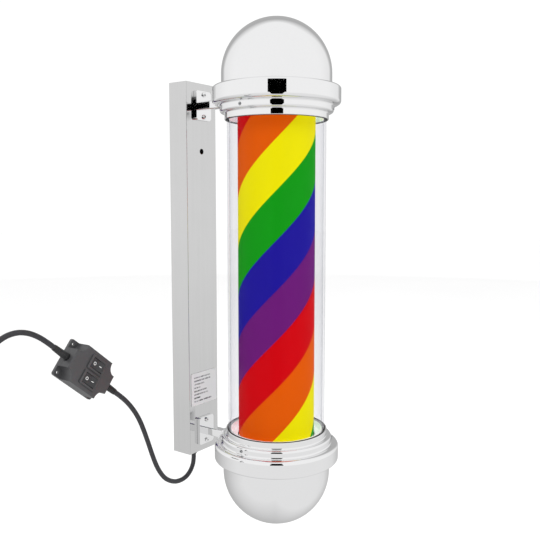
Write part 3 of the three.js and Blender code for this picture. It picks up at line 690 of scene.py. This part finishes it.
def plug_body():
    x, y, z = PLUG_TOP
    grip = plate(rect(26, 32, 7, 8), 9, -9, 4.0, 5, 4.0)
    moved(grip, shift((x, y, z - 45)))
    waist = [block((30, 1.6, 1.6), (x, y + side * 9.4, z - 39 - 4 * k), 0.5, 2)
             for side in (-1, 1) for k in range(4)]
    outline = [(BORE, z, 0), (4.3, z, 0.5)]
    for k in range(6):
        top = z - 3 - 4.2 * k
        r = 4.45 + 0.28 * k
        outline += [(r + 0.1, top, 0.2), (r - 0.6, top - 0.4, 0.2), (r - 0.5, top - 1.7, 0.2),
                    (r + 0.25, top - 2.1, 0.2)]
    outline += [(6.2, z - 31, 0.2), (BORE, z - 31, 0)]
    relief = lathe(rounded(outline, 3), 48, x, y)
    body = cut(grip, *waist)
    return fused(body, relief)


def plug_pin(offset):
    x, y, z = PLUG_TOP
    pin = plate(rect(17, 6.4, 0.6, 4), 0.8, -0.8, 0.25, 2, 0.25)
    cut(pin, bar(1.6, (-4.5, 3, 0), (-4.5, -3, 0), 24))
    turn = Matrix.Rotation(math.pi / 2, 4, "Y") @ Matrix.Rotation(math.pi / 2, 4, "X")
    return moved(pin, shift((x + offset, y, z - 69)) @ turn)


def add_cords():
    gland = finished(cord_gland(), "cord_gland_moulding", "gland", "gland_plastic", "cord_gland")
    grommets = {}
    for end, side in (("upper", -1), ("lower", 1)):
        grommets[end] = finished(grommet(side), f"{end}_grommet_moulding", "gland", "seal_rubber",
                                 f"{end}_grommet")
    tie = finished(cord_tie(), "coil_tie_strap", "strap", "cord_sheath", "cord_tie")
    body = finished(plug_body(), "plug_moulding", "cord", "cord_sheath", "plug")
    pins = []
    for hand, offset in (("left", -6.35), ("right", 6.35)):
        pins.append(finished(plug_pin(offset), f"plug_pin_{hand}", "brass", "zinc_steel"))

    inward = Vector((math.cos(SWITCH_TURN), 0, -math.sin(SWITCH_TURN)))
    route = straight((*CORD_EXIT, -274), CORD_TO_SWITCH[0]) + route_points(CORD_TO_SWITCH)
    route += [Vector(CORD_TO_SWITCH[-1]) - inward * reach for reach in (4, 8, 12)]
    first = finished(sweep(route, CORD_D / 2), "cord_bracket_to_switch", "cord", "cord_sheath",
                     "cord_to_switch", angle=60)

    start = Vector(CORD_TO_COIL[0])
    spare = [start + inward * reach for reach in (12, 8, 4)] + route_points(CORD_TO_COIL)
    spare += straight(CORD_TO_COIL[-1], coil_point(0, *COIL_LANES[0]))[1:]
    spare += coil_points()
    spare += straight(coil_point(0, *COIL_LANES[-1]), PLUG_TOP - Vector((0, 0, 8)))[1:]
    spare.append(PLUG_TOP - Vector((0, 0, 8)))
    second = finished(sweep(spare, CORD_D / 2, 18), "cord_switch_to_plug", "cord", "cord_sheath",
                      "cord_to_coil", "cord_coil", angle=60)
    return gland, grommets, tie, [body, *pins], (first, route), (second, spare)


# Bracket -------------------------------------------------------------------------
BRACKET_WIDTH = 65.0
BRACKET_DEPTH = 33.2
BRACKET_HEIGHT = 552.0
SHEET = 1.5
ARM_Z = 243.5
ARM_SCREW_OFFSET = 16.0
COVER_SCREW_X, COVER_SCREW_Y = 19, -5.6
ACCESS_HOLE_R, ACCESS_HOLE_Z = 4.2, 177.5
LABEL_Z = -178


def screw(seat, outward, head_r, head_tall, shank_r, shank_long):
    """Pan-head screw with a cross recess; seat is the middle of the head's underside."""
    outline = [
        (0, -shank_long, 0), (shank_r, -shank_long, 0.3), (shank_r, 0, 0), (head_r, 0, 0.15),
        (head_r, head_tall * 0.62, 0.3), (head_r * 0.72, head_tall, 0.5), (0, head_tall, 0),
    ]
    solid = lathe(rounded(outline, 3), 48, 0.0, 0.0, closed=False)
    recess = [(1.05, 0.26), (0.26, 1.05)]
    cut(solid, *(block((head_r * a, head_r * b, head_tall), (0, 0, head_tall)) for a, b in recess))
    return moved(solid, shift(seat) @ pointing(outward))


def bracket_cover():
    half = BRACKET_HEIGHT / 2
    bm = bmesh.new()
    bmesh.ops.create_cube(bm, size=1.0)
    bmesh.ops.scale(bm, vec=(BRACKET_WIDTH, BRACKET_DEPTH, BRACKET_HEIGHT), verts=bm.verts)
    bmesh.ops.translate(bm, vec=(0, -BRACKET_DEPTH / 2, 0), verts=bm.verts)
    folds = [e for e in bm.edges if min(v.co.y for v in e.verts) < -1]
    bevel(bm, folds, 0.9, 4)
    outer = link(bm)
    room = block((BRACKET_WIDTH - 2 * SHEET, BRACKET_DEPTH, BRACKET_HEIGHT - 2 * SHEET),
                 (0, -BRACKET_DEPTH / 2 + SHEET, 0), 0.6, 2)
    front = -BRACKET_DEPTH
    cut(outer, room)
    holes = [bar(ACCESS_HOLE_R, (0, front - 1, ACCESS_HOLE_Z), (0, front + 3, ACCESS_HOLE_Z), 56)]
    nuts = []
    for side in (-1, 1):
        z = side * ARM_Z
        holes.append(bar(3.6, (0, front - 1, z), (0, front + 3, z), 32))
        for offset in (-ARM_SCREW_OFFSET, ARM_SCREW_OFFSET):
            nuts.append(bar(4.5, (0, front + SHEET - 0.5, z + offset), (0, front + SHEET + 4, z + offset), 6))
            holes.append(bar(2.4, (0, front - 1, z + offset), (0, front + 8, z + offset), 24))
        holes.append(bar(1.9, (COVER_SCREW_X, COVER_SCREW_Y, side * (half - 3)),
                         (COVER_SCREW_X, COVER_SCREW_Y, side * (half + 3)), 24))
    holes.append(bar(5.3, (*CORD_EXIT, -half - 3), (*CORD_EXIT, -half + 3), 40))
    fused(outer, *nuts)
    return cut(outer, *holes)


def add_bracket():
    finished(bracket_cover(), "bracket_cover_sheet", "bracket_steel", "bracket_steel", "bracket_cover")
    for end, side in (("top", 1), ("bottom", -1)):
        seat = (COVER_SCREW_X, COVER_SCREW_Y, side * (BRACKET_HEIGHT / 2 + GAP))
        solid = screw(seat, (0, 0, side), 2.9, 1.8, 1.5, 6)
        finished(solid, f"cover_screw_{end}_crosshead", "zinc", "zinc_steel", f"cover_screw_{end}")
    face = -BRACKET_DEPTH - GAP
    label = plate(rect(57, 49.5, 2, 6), face, face - 0.4, 0.12, 2)
    moved(label, shift((0, 0, LABEL_Z)))
    finished(label, "rating_label_film", "label", "label_film", "rating_label")


# Arms ----------------------------------------------------------------------------
BAND_R = 87.5               # widest ring of a collar
STEP_R = 77.6               # middle ring of a collar
SADDLE_START = -76.5


def arm_solid():
    back = -BRACKET_DEPTH - GAP
    flange = plate(rect(32, 42, 3, 6), back, back - 5, 0.9, 3)
    neck = plate(rect(13, 12, 1.6, 5), back - 1, SADDLE_START - 1)
    saddle = plate(rect(22, 20, 4, 6), SADDLE_START, POLE_Y + BAND_R - 6, 0.0, 3, 0.9)
    spigot = bar(4.5, (0, SADDLE_START - 2, 0), (0, POLE_Y + STEP_R, 0), 40)
    cut(saddle, lathe([(0, -40), (BAND_R + GAP, -40), (BAND_R + GAP, 40), (0, 40)], 160, closed=False))
    body = fused(flange, neck, saddle, spigot)
    tools = [bar(2.6, (0, back + 2, 0), (0, POLE_Y + 74, 0), 32)]
    for z in (-ARM_SCREW_OFFSET, ARM_SCREW_OFFSET):
        tools.append(bar(2.4, (0, back + 2, z), (0, back - 7, z), 32))
    return cut(body, *tools)


def add_arms():
    seat = -BRACKET_DEPTH - 5.6
    for end, side in (("upper", 1), ("lower", -1)):
        arm = moved(arm_solid(), shift((0, 0, side * ARM_Z)))
        finished(arm, f"{end}_arm_casting", "chrome", "chrome", f"{end}_arm")
        for place, offset in (("high", ARM_SCREW_OFFSET), ("low", -ARM_SCREW_OFFSET)):
            solid = screw((0, seat, side * ARM_Z + offset), (0, -1, 0), 3.5, 2.4, 2, 11)
            finished(solid, f"{end}_arm_crosshead_{place}", "chrome", "chrome",
                     f"{end}_arm_screw_{place}")


# Caps ----------------------------------------------------------------------------
HALF_HEIGHT = 350
DOME_R = 75.2
DOME_WALL = 1.5
DOME_FOOT = 238.8
DOME_STOPS = 44             # steps of the dome's outline
NECK_R = 71                 # narrow ring of a collar, round the tube
PLATE_SCREW_R, PLATE_SCREW_ANGLES = 80.2, (-45, 115)
GRUB_ANGLES = (-62, 58, 178)
GRUB_Z = 228.3


def around_pole(radius, degrees, z):
    angle = math.radians(degrees)
    return (radius * math.cos(angle), POLE_Y + radius * math.sin(angle), z)


def dome():
    centre = HALF_HEIGHT - DOME_R
    inner = DOME_R - DOME_WALL
    outside = [(DOME_R, DOME_FOOT + 0.4), (DOME_R, 250), (DOME_R, 262)]
    inside = []
    for i in range(DOME_STOPS + 1):
        angle = math.pi / 2 * i / DOME_STOPS
        c, s = (0.0, 1.0) if i == DOME_STOPS else (math.cos(angle), math.sin(angle))
        outside.append((DOME_R * c, centre + DOME_R * s))
        inside.insert(0, (inner * c, centre + inner * s))
    foot = [(inner, DOME_FOOT + 0.4), (inner + 0.4, DOME_FOOT), (DOME_R - 0.4, DOME_FOOT)]
    solid = lathe(outside + inside + foot, 160)
    return cut(solid, bar(3.6, (0, POLE_Y + DOME_R + 4, ARM_Z), (0, POLE_Y + DOME_R - 6, ARM_Z), 24))


ARC_STEPS = 12


def arc(x, y, wide, tall, first, last):
    """Points of an elliptic arc about (x, y), from first to last in degrees."""
    turns = [math.radians(first + (last - first) * i / ARC_STEPS) for i in range(ARC_STEPS + 1)]
    return [(x + wide * math.cos(a), y + tall * math.sin(a)) for a in turns]


def collar():
    lip = DOME_R + 0.35
    outline = [
        (68.9, 214.1), (70.5, 214.1), (NECK_R, 214.6), *arc(73, 221, 2, 2, 180, 90),
        *arc(STEP_R - 3.4, 226.4, 3.4, 3.4, -90, 0), *arc(80.1, 231, 2.5, 2.5, 180, 90),
        *arc(BAND_R - 7, 238.9, 7, 5.4, -90, 0), *arc(BAND_R - 10, 255, 10, 4.5, 0, 90),
        (lip + 0.4, 259.5), (lip, 259.1), (lip, 256.2), (83.2, 256.2), (85.2, 250.5), (85.2, 236),
        (75.4, 236), (75.4, 225.4), (68.4, 225.4), (68.4, 214.6),
    ]
    holes = [bar(4.9, (0, POLE_Y + BAND_R + 3, ARM_Z), (0, POLE_Y + BAND_R - 6, ARM_Z), 32)]
    for degrees in GRUB_ANGLES:
        holes.append(bar(2.3, around_pole(71, degrees, GRUB_Z), around_pole(81, degrees, GRUB_Z), 32))
    for degrees in PLATE_SCREW_ANGLES:
        holes.append(bar(1.8, around_pole(PLATE_SCREW_R, degrees, 230),
                         around_pole(PLATE_SCREW_R, degrees, 242), 24))
    return cut(lathe(outline, 160), *holes)


def grub_screw(degrees):
    outer = bar(2.0, around_pole(75.7, degrees, GRUB_Z), around_pole(78.3, degrees, GRUB_Z), 32)
    return cut(outer, bar(1.0, around_pole(77.0, degrees, GRUB_Z), around_pole(80.6, degrees, GRUB_Z), 6))


ENDS = (("upper", lambda solid: solid), ("lower", mirrored_in_z))


def add_caps():
    for end, place in ENDS:
        finished(place(dome()), f"{end}_dome_shell", "chrome", "chrome", f"{end}_dome")
        finished(place(collar()), f"{end}_collar_spinning", "chrome", "chrome", f"{end}_collar",
                 angle=40)
        for i, degrees in enumerate(GRUB_ANGLES):
            finished(place(grub_screw(degrees)), f"{end}_set_screw_{i + 1}", "zinc", "zinc_steel",
                     f"{end}_grub_screw_{i + 1}")


# Pole ----------------------------------------------------------------------------
TUBE_R, TUBE_WALL, TUBE_END = 67.8, 3.0, 225.1
DRUM_R, DRUM_WALL, DRUM_END = 53.2, 1.2, 222


def end_ring():
    outline = [(54.4, 222.6, 0.3), (63.5, 222.6, 0.8), (63.5, 214.6, 0.25), (64.4, 214.6, 0.25),
               (64.4, 224.4, 0.3), (54.4, 224.4, 0.3)]
    return lathe(rounded(outline, 3), 160)


def rim_gasket():
    outline = [(67.95, 213.4, 0.2), (69.5, 213.4, 0.3), (69.5, 213.95, 0.1), (67.95, 213.95, 0.1)]
    return lathe(rounded(outline, 3), 160)


def add_pole():
    for end, place in ENDS:
        finished(place(rim_gasket()), f"{end}_rim_gasket", "gasket", "seal_rubber")
        finished(place(end_ring()), f"{end}_glow_painted_end_ring", "glow_painted_ring", "white_plastic")
    inner = TUBE_R - TUBE_WALL
    tube = rounded([(inner, -TUBE_END, 0.5), (TUBE_R, -TUBE_END, 0.5), (TUBE_R, TUBE_END, 0.5),
                    (inner, TUBE_END, 0.5)], 3)
    finished(lathe(tube, 160), "clear_outer_tube", "tube", "clear_tube", "outer_tube")
    inner = DRUM_R - DRUM_WALL
    drum = [(inner, -DRUM_END), (DRUM_R, -DRUM_END), (DRUM_R, DRUM_END), (inner, DRUM_END)]
    finished(lathe(drum, 160), "striped_drum_film", "film", "rainbow_film", "striped_drum",
             body="drum")


# Switch box ----------------------------------------------------------------------
SWITCH_BASE = 9.0
SWITCH_COVER = 15.0
EAR_THICK = 4.0
NOTCH_R = 11.5
COVER_BACK = -SWITCH_BASE - GAP
COVER_FRONT = COVER_BACK - SWITCH_COVER
ROCKER_SHIFT = 1.5
ROCKER_PITCH = 21.5
ROCKER_TILT = math.radians(9)
ROCKER_HALF = 9.8           # half of a rocker's length
ROCKER_TOP = -3.2           # its pivot line, the lowest of its face
ROCKER_SLOPE = (math.tan(ROCKER_TILT) * ROCKER_HALF - 0.2) / ROCKER_HALF


def corner_notches(back, front):
    return [bar(NOTCH_R, (a * 36, back, b * 24.5), (a * 36, front, b * 24.5), 72)
            for a in (-1, 1) for b in (-1, 1)]


def box_entries():
    half = SWITCH_LENGTH / 2
    return [bar(5.4, (e * (half - 14), ENTRY_Y, 0), (e * (half + 4), ENTRY_Y, 0), 40) for e in (-1, 1)]


def box_rooms(back, front):
    middle, thick = (back + front) / 2, back - front
    return [block((SWITCH_LENGTH - 30, thick, SWITCH_WIDTH - 5), (0, middle, 0)),
            block((SWITCH_LENGTH - 9, thick, SWITCH_WIDTH - 30), (0, middle, 0))]


def rim_rounded(solid, y, width, steps=3):
    """Rounds the outer edges that lie at depth y."""
    bm = bmesh.new()
    bm.from_mesh(solid.data)
    bmesh.ops.remove_doubles(bm, verts=bm.verts, dist=1e-4)
    rim = [e for e in bm.edges if all(abs(v.co.y - y) < 1e-4 for v in e.verts)
           and len(e.link_faces) == 2 and e.calc_face_angle(0.0) > 0.8]
    bevel(bm, rim, width, steps)
    bm.to_mesh(solid.data)
    bm.free()
    return solid


def box_base():
    solid = plate(rect(SWITCH_LENGTH, SWITCH_WIDTH, 3, 6), 0, -SWITCH_BASE)
    cut(solid, *corner_notches(-EAR_THICK, -30))
    rim_rounded(solid, -EAR_THICK, 0.5, 2)
    ears = [bar(2.2, (a * 32, 1, b * 20.5), (a * 32, -6, b * 20.5), 32) for a in (-1, 1) for b in (-1, 1)]
    return cut(solid, *ears, *box_entries(), *box_rooms(-2.5, -11))


def box_cover():
    solid = plate(rect(SWITCH_LENGTH, SWITCH_WIDTH, 3, 6), COVER_BACK, COVER_FRONT)
    cut(solid, *corner_notches(0, -60))
    rim_rounded(solid, COVER_FRONT, 1.3, 4)
    wells = []
    for side in (-1, 1):
        wells.append(block((24.6, 15, 15.6), (ROCKER_SHIFT, COVER_FRONT + 5, side * ROCKER_PITCH / 2)))
    return cut(solid, *wells, *box_entries(), *box_rooms(COVER_BACK + 1, COVER_FRONT + 2.5))


def switch_module():
    back = COVER_FRONT - GAP
    bezel = plate(rect(28, 19, 1.2, 4), back, back - 2.2, 0.7, 3)
    body = block((24, 11.5, 15), (0, back + 5.7, 0))
    solid = fused(bezel, body)
    cut(solid, block((22, 20, 14), (0, back - 1, 0)))
    return solid


def rocker_solid():
    half = ROCKER_HALF
    rise = half * math.tan(ROCKER_TILT)
    outline = [(-half + 2, 5), (half - 2, 5), (half, -3 - rise), (0, ROCKER_TOP), (-half, -3 - rise)]
    bm = bmesh.new()
    sides = [[bm.verts.new((x, y, z)) for x, y in outline] for z in (-6.5, 6.5)]
    bm.faces.new(sides[0])
    bm.faces.new(list(reversed(sides[1])))
    count = len(outline)
    for i in range(count):
        j = (i + 1) % count
        bm.faces.new([sides[0][i], sides[1][i], sides[1][j], sides[0][j]])
    bmesh.ops.recalc_face_normals(bm, faces=bm.faces)
    bevel(bm, bm.edges[:], 0.45, 3)
    return link(bm)


def face_mark(x, along_angle, outline, hole=None):
    """A thin painted mark that lies on one face of the rocker at distance x from the pivot line."""
    lift = ROCKER_TOP - abs(x) * ROCKER_SLOPE
    mark = plate(outline, -0.01, -0.09)
    if hole:
        cut(mark, bar(hole, (0, 1, 0), (0, -1, 0), 40))
    turn = Matrix.Rotation(along_angle, 4, "Z")
    return moved(mark, shift((x, lift, 0)) @ turn)


def rocker_marks():
    slope = math.atan(ROCKER_SLOPE)
    turns = [2 * math.pi * i / 40 for i in range(40)]
    circle = [(2.2 * math.cos(turn), 2.2 * math.sin(turn)) for turn in turns]
    off = face_mark(-5.0, slope, circle, 1.5)
    on = face_mark(4.6, -slope, rect(3.6, 0.8, 0.2, 3))
    return fused(off, on)


def add_switch_box():
    for name, solid in (("switch_box_base", box_base), ("switch_box_cover", box_cover)):
        finished(on_wall(solid()), f"{name}_moulding", "switch", "switch_plastic", name)
    tilt = shift((0, COVER_FRONT + 1, 0)) @ Matrix.Rotation(-ROCKER_TILT, 4, "Z")
    for hand, side in (("left", -1), ("right", 1)):
        place = SWITCH_MATRIX @ shift((ROCKER_SHIFT, 0, side * ROCKER_PITCH / 2))
        finished(moved(switch_module(), place), f"{hand}_switch_bezel", "switch", "rocker_plastic",
                 f"{hand}_switch_body")
        finished(moved(rocker_solid(), place @ tilt), f"{hand}_rocker_button", "rocker", "rocker_plastic",
                 f"{hand}_rocker", body=f"{hand}_rocker_body")
        finished(moved(rocker_marks(), place @ tilt), f"{hand}_rocker_marks", "mark", "rocker_plastic",
                 body=f"{hand}_rocker_body")


# CAD nodes that stay, with finer finishes ----------------------------------------
KEPT_FINISHES = {
    "zinc": ["bracket_back_plate", "motor_plate", "driver_plate", "upper_arm_nut", "lower_arm_nut",
             *(f"{e}_plate_screw_{i}" for e in ("upper", "lower") for i in (1, 2))],
    "dark_metal": ["motor"],
    "shaft": ["drive_shaft"],
    "white_plastic": ["drive_disc", "guide_ring", "guide_bush", "light_driver", "terminal_block"],
    "aluminium": ["light_post"],
    "light_strip": ["light_strip_front", "light_strip_back"],
    "seal": ["upper_tube_seal", "lower_tube_seal"],
    "lead": ["motor_lead", "light_lead", "supply_lead"],
}


def finish_kept_nodes():
    # Painted glow: the white end rings emit a little light of their own, so the pole's inside looks light
    # where the chrome mirrors it.
    painted_ring_glow = MATERIALS["glow_painted_ring"].node_tree.nodes["Principled BSDF"]
    setting(painted_ring_glow, "Emission Color", (1.0, 0.99, 0.98, 1))
    setting(painted_ring_glow, "Emission Strength", 0.35)
    for material, names in KEPT_FINISHES.items():
        for name in names:
            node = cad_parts[name]
            node.data.materials.clear()
            node.data.materials.append(MATERIALS[material])


# Studio --------------------------------------------------------------------------
def emission(name, colour_socket_builder):
    material, tree, output = start_material(name)
    light = tree.nodes.new("ShaderNodeEmission")
    colour_socket_builder(tree, light)
    wire(tree, light.outputs[0], output.inputs["Surface"])
    return material


def reflected_only(obj):
    """Seen in mirror surfaces only: it neither shows nor shades anything."""
    obj.visible_camera = False
    obj.visible_diffuse = False
    obj.visible_transmission = False
    obj.visible_shadow = False
    obj.visible_volume_scatter = False


def surroundings_shade(tree, light):
    """White room as the chrome sees it, by direction: a soft grey wall ahead of the camera, darker sides
    and a floor that darkens from behind the camera forwards. It is fixed in the room, not to the view."""
    position = tree.nodes.new("ShaderNodeNewGeometry").outputs["Position"]
    unit = tree.nodes.new("ShaderNodeVectorMath")
    unit.operation = "NORMALIZE"
    wire(tree, position, unit.inputs[0])
    x, y, z = axes(tree, unit.outputs[0])
    rise = math_node(tree, "ARCSINE", z)
    ahead = math_node(tree, "MULTIPLY_ADD", x, FORWARD.x, times(tree, y, FORWARD.y))
    aside = math_node(tree, "MULTIPLY_ADD", x, RIGHT.x, times(tree, y, RIGHT.y))
    across = math_node(tree, "ABSOLUTE", math_node(tree, "DIVIDE", aside, 0.60))
    across = math_node(tree, "POWER", across, 2.0)
    height = math_node(tree, "SUBTRACT", rise, 0.17)
    above = math_node(tree, "DIVIDE", math_node(tree, "MAXIMUM", height, 0.0), 0.86)
    below = math_node(tree, "DIVIDE", math_node(tree, "MINIMUM", height, 0.0), 0.46)
    up = math_node(tree, "POWER", math_node(tree, "SUBTRACT", above, below), 2.0)
    wall = spread(tree, math_node(tree, "ADD", across, up), 1.0, 0.0, 0.85, 1.55)
    inward = math_node(tree, "SUBTRACT", ahead, math_node(tree, "ABSOLUTE", aside))
    inward = math_node(tree, "MULTIPLY_ADD", aside, -0.5, inward)
    under = spread(tree, inward, 0.86, 0.50, -0.7, 0.75)
    floor = math_node(tree, "MULTIPLY_ADD", under, spread(tree, rise, 1.0, 0.0, -0.34, -0.04),
                      spread(tree, rise, 0.0, 0.985, -0.34, -0.04))
    wall = times(tree, wall, spread(tree, ahead, 0.0, 1.0, 0.0, 0.12))
    far = math_node(tree, "POWER", math_node(tree, "MAXIMUM", ahead, 0.0), 2.0)
    sides = times(tree, far, math_node(tree, "ABSOLUTE", aside))
    wall = math_node(tree, "MAXIMUM", wall, times(tree, sides, 0.62))
    grey = times(tree, floor, spread(tree, wall, 1.0, 0.48, 0.0, 1.0))
    combine = tree.nodes.new("ShaderNodeCombineColor")
    for socket in combine.inputs[:3]:
        wire(tree, grey, socket)
    wire(tree, combine.outputs[0], light.inputs["Color"])
    setting(light, "Strength", 1.0)


def black_card(name, width, height, place, facing):
    bm = bmesh.new()
    bmesh.ops.create_grid(bm, x_segments=1, y_segments=1, size=0.5)
    bmesh.ops.scale(bm, vec=(width, height, 1), verts=bm.verts)
    obj = link(bm, name)
    obj.matrix_world = shift(place) @ pointing(facing)

    def shade(_tree, light):
        setting(light, "Color", (0, 0, 0, 1))
    obj.data.materials.append(emission(name, shade))
    reflected_only(obj)
    return obj


FLOOR_Z = -0.62
FLAG_DISTANCE = 0.375       # metres from the pole's axis, towards the camera
FLAG_SHIFT = 0.005
FLAG_SIZES = ((0.190, 0.277, 0.311), (0.162, 0.235, 0.277), (0.138, -0.235, 0.235))  # width, foot, top
LENS_FLAG_SIZE = (0.16, 0.076)
LENS_FLAG_Z = 0.372
LENS_FLAG_SHIFT = 0.03


def add_studio():
    cord_a[0].visible_glossy = False
    gland.visible_glossy = False

    world = bpy.data.worlds.new("studio")
    world.use_nodes = True
    background = world.node_tree.nodes["Background"]
    setting(background, "Color", (1.0, 1.0, 1.0, 1))
    setting(background, "Strength", 1.05)
    scene.world = world

    bm = bmesh.new()
    bmesh.ops.create_icosphere(bm, subdivisions=4, radius=6.0)
    room = link(bm, "studio_surroundings")
    room.data.materials.append(emission("studio_surroundings", surroundings_shade))
    reflected_only(room)

    bm = bmesh.new()
    bmesh.ops.create_grid(bm, x_segments=8, y_segments=8, size=14.0)
    floor = link(bm, "studio_floor")
    floor.location = (0, 0, FLOOR_Z)
    floor.visible_glossy = False
    floor.data.materials.append(surface("floor_paper", (0.97, 0.97, 0.97), 0.7, 0.0, 40.0, 1.0, tint=0.004,
                                        rough_span=0.03, bump=0.0))

    axis = Vector((0, POLE_Y * MM, 0))
    view = CAMERA_PLACE - axis
    view.z = 0
    view.normalize()
    for number, (width, low, high) in enumerate(FLAG_SIZES):
        place = axis + view * FLAG_DISTANCE + RIGHT * FLAG_SHIFT + Vector((0, 0, (low + high) / 2))
        black_card(f"studio_flag_{number + 1}", width, high - low, place, -view)
    lens_place = Vector((CAMERA_PLACE.x, CAMERA_PLACE.y, LENS_FLAG_Z)) - RIGHT * LENS_FLAG_SHIFT
    black_card("studio_lens_flag", *LENS_FLAG_SIZE, lens_place, FORWARD)

    for name, place, size, power in (
        ("key", (-1.5, -1.6, 1.9), 1.6, 26.0),
        ("fill", (1.8, -1.6, 1.2), 1.6, 10.0),
    ):
        data = bpy.data.lights.new(name, "AREA")
        data.shape = "SQUARE"
        data.size = size
        data.energy = power
        lamp = bpy.data.objects.new(name, data)
        lamp.matrix_world = shift(place) @ pointing(axis - Vector(place), "-Z")
        lamp.visible_glossy = False
        lamp.visible_camera = False
        scene.collection.objects.link(lamp)


gland, grommets, tie, plug_pieces, cord_a, cord_b = add_cords()
add_bracket()
add_arms()
add_caps()
add_pole()
add_switch_box()
finish_kept_nodes()
add_studio()

switch_pieces = ["switch_box_base_moulding", "switch_box_cover_moulding"]
for hand in ("left", "right"):
    switch_pieces += [f"{hand}_switch_bezel", f"{hand}_rocker_button", f"{hand}_rocker_marks"]
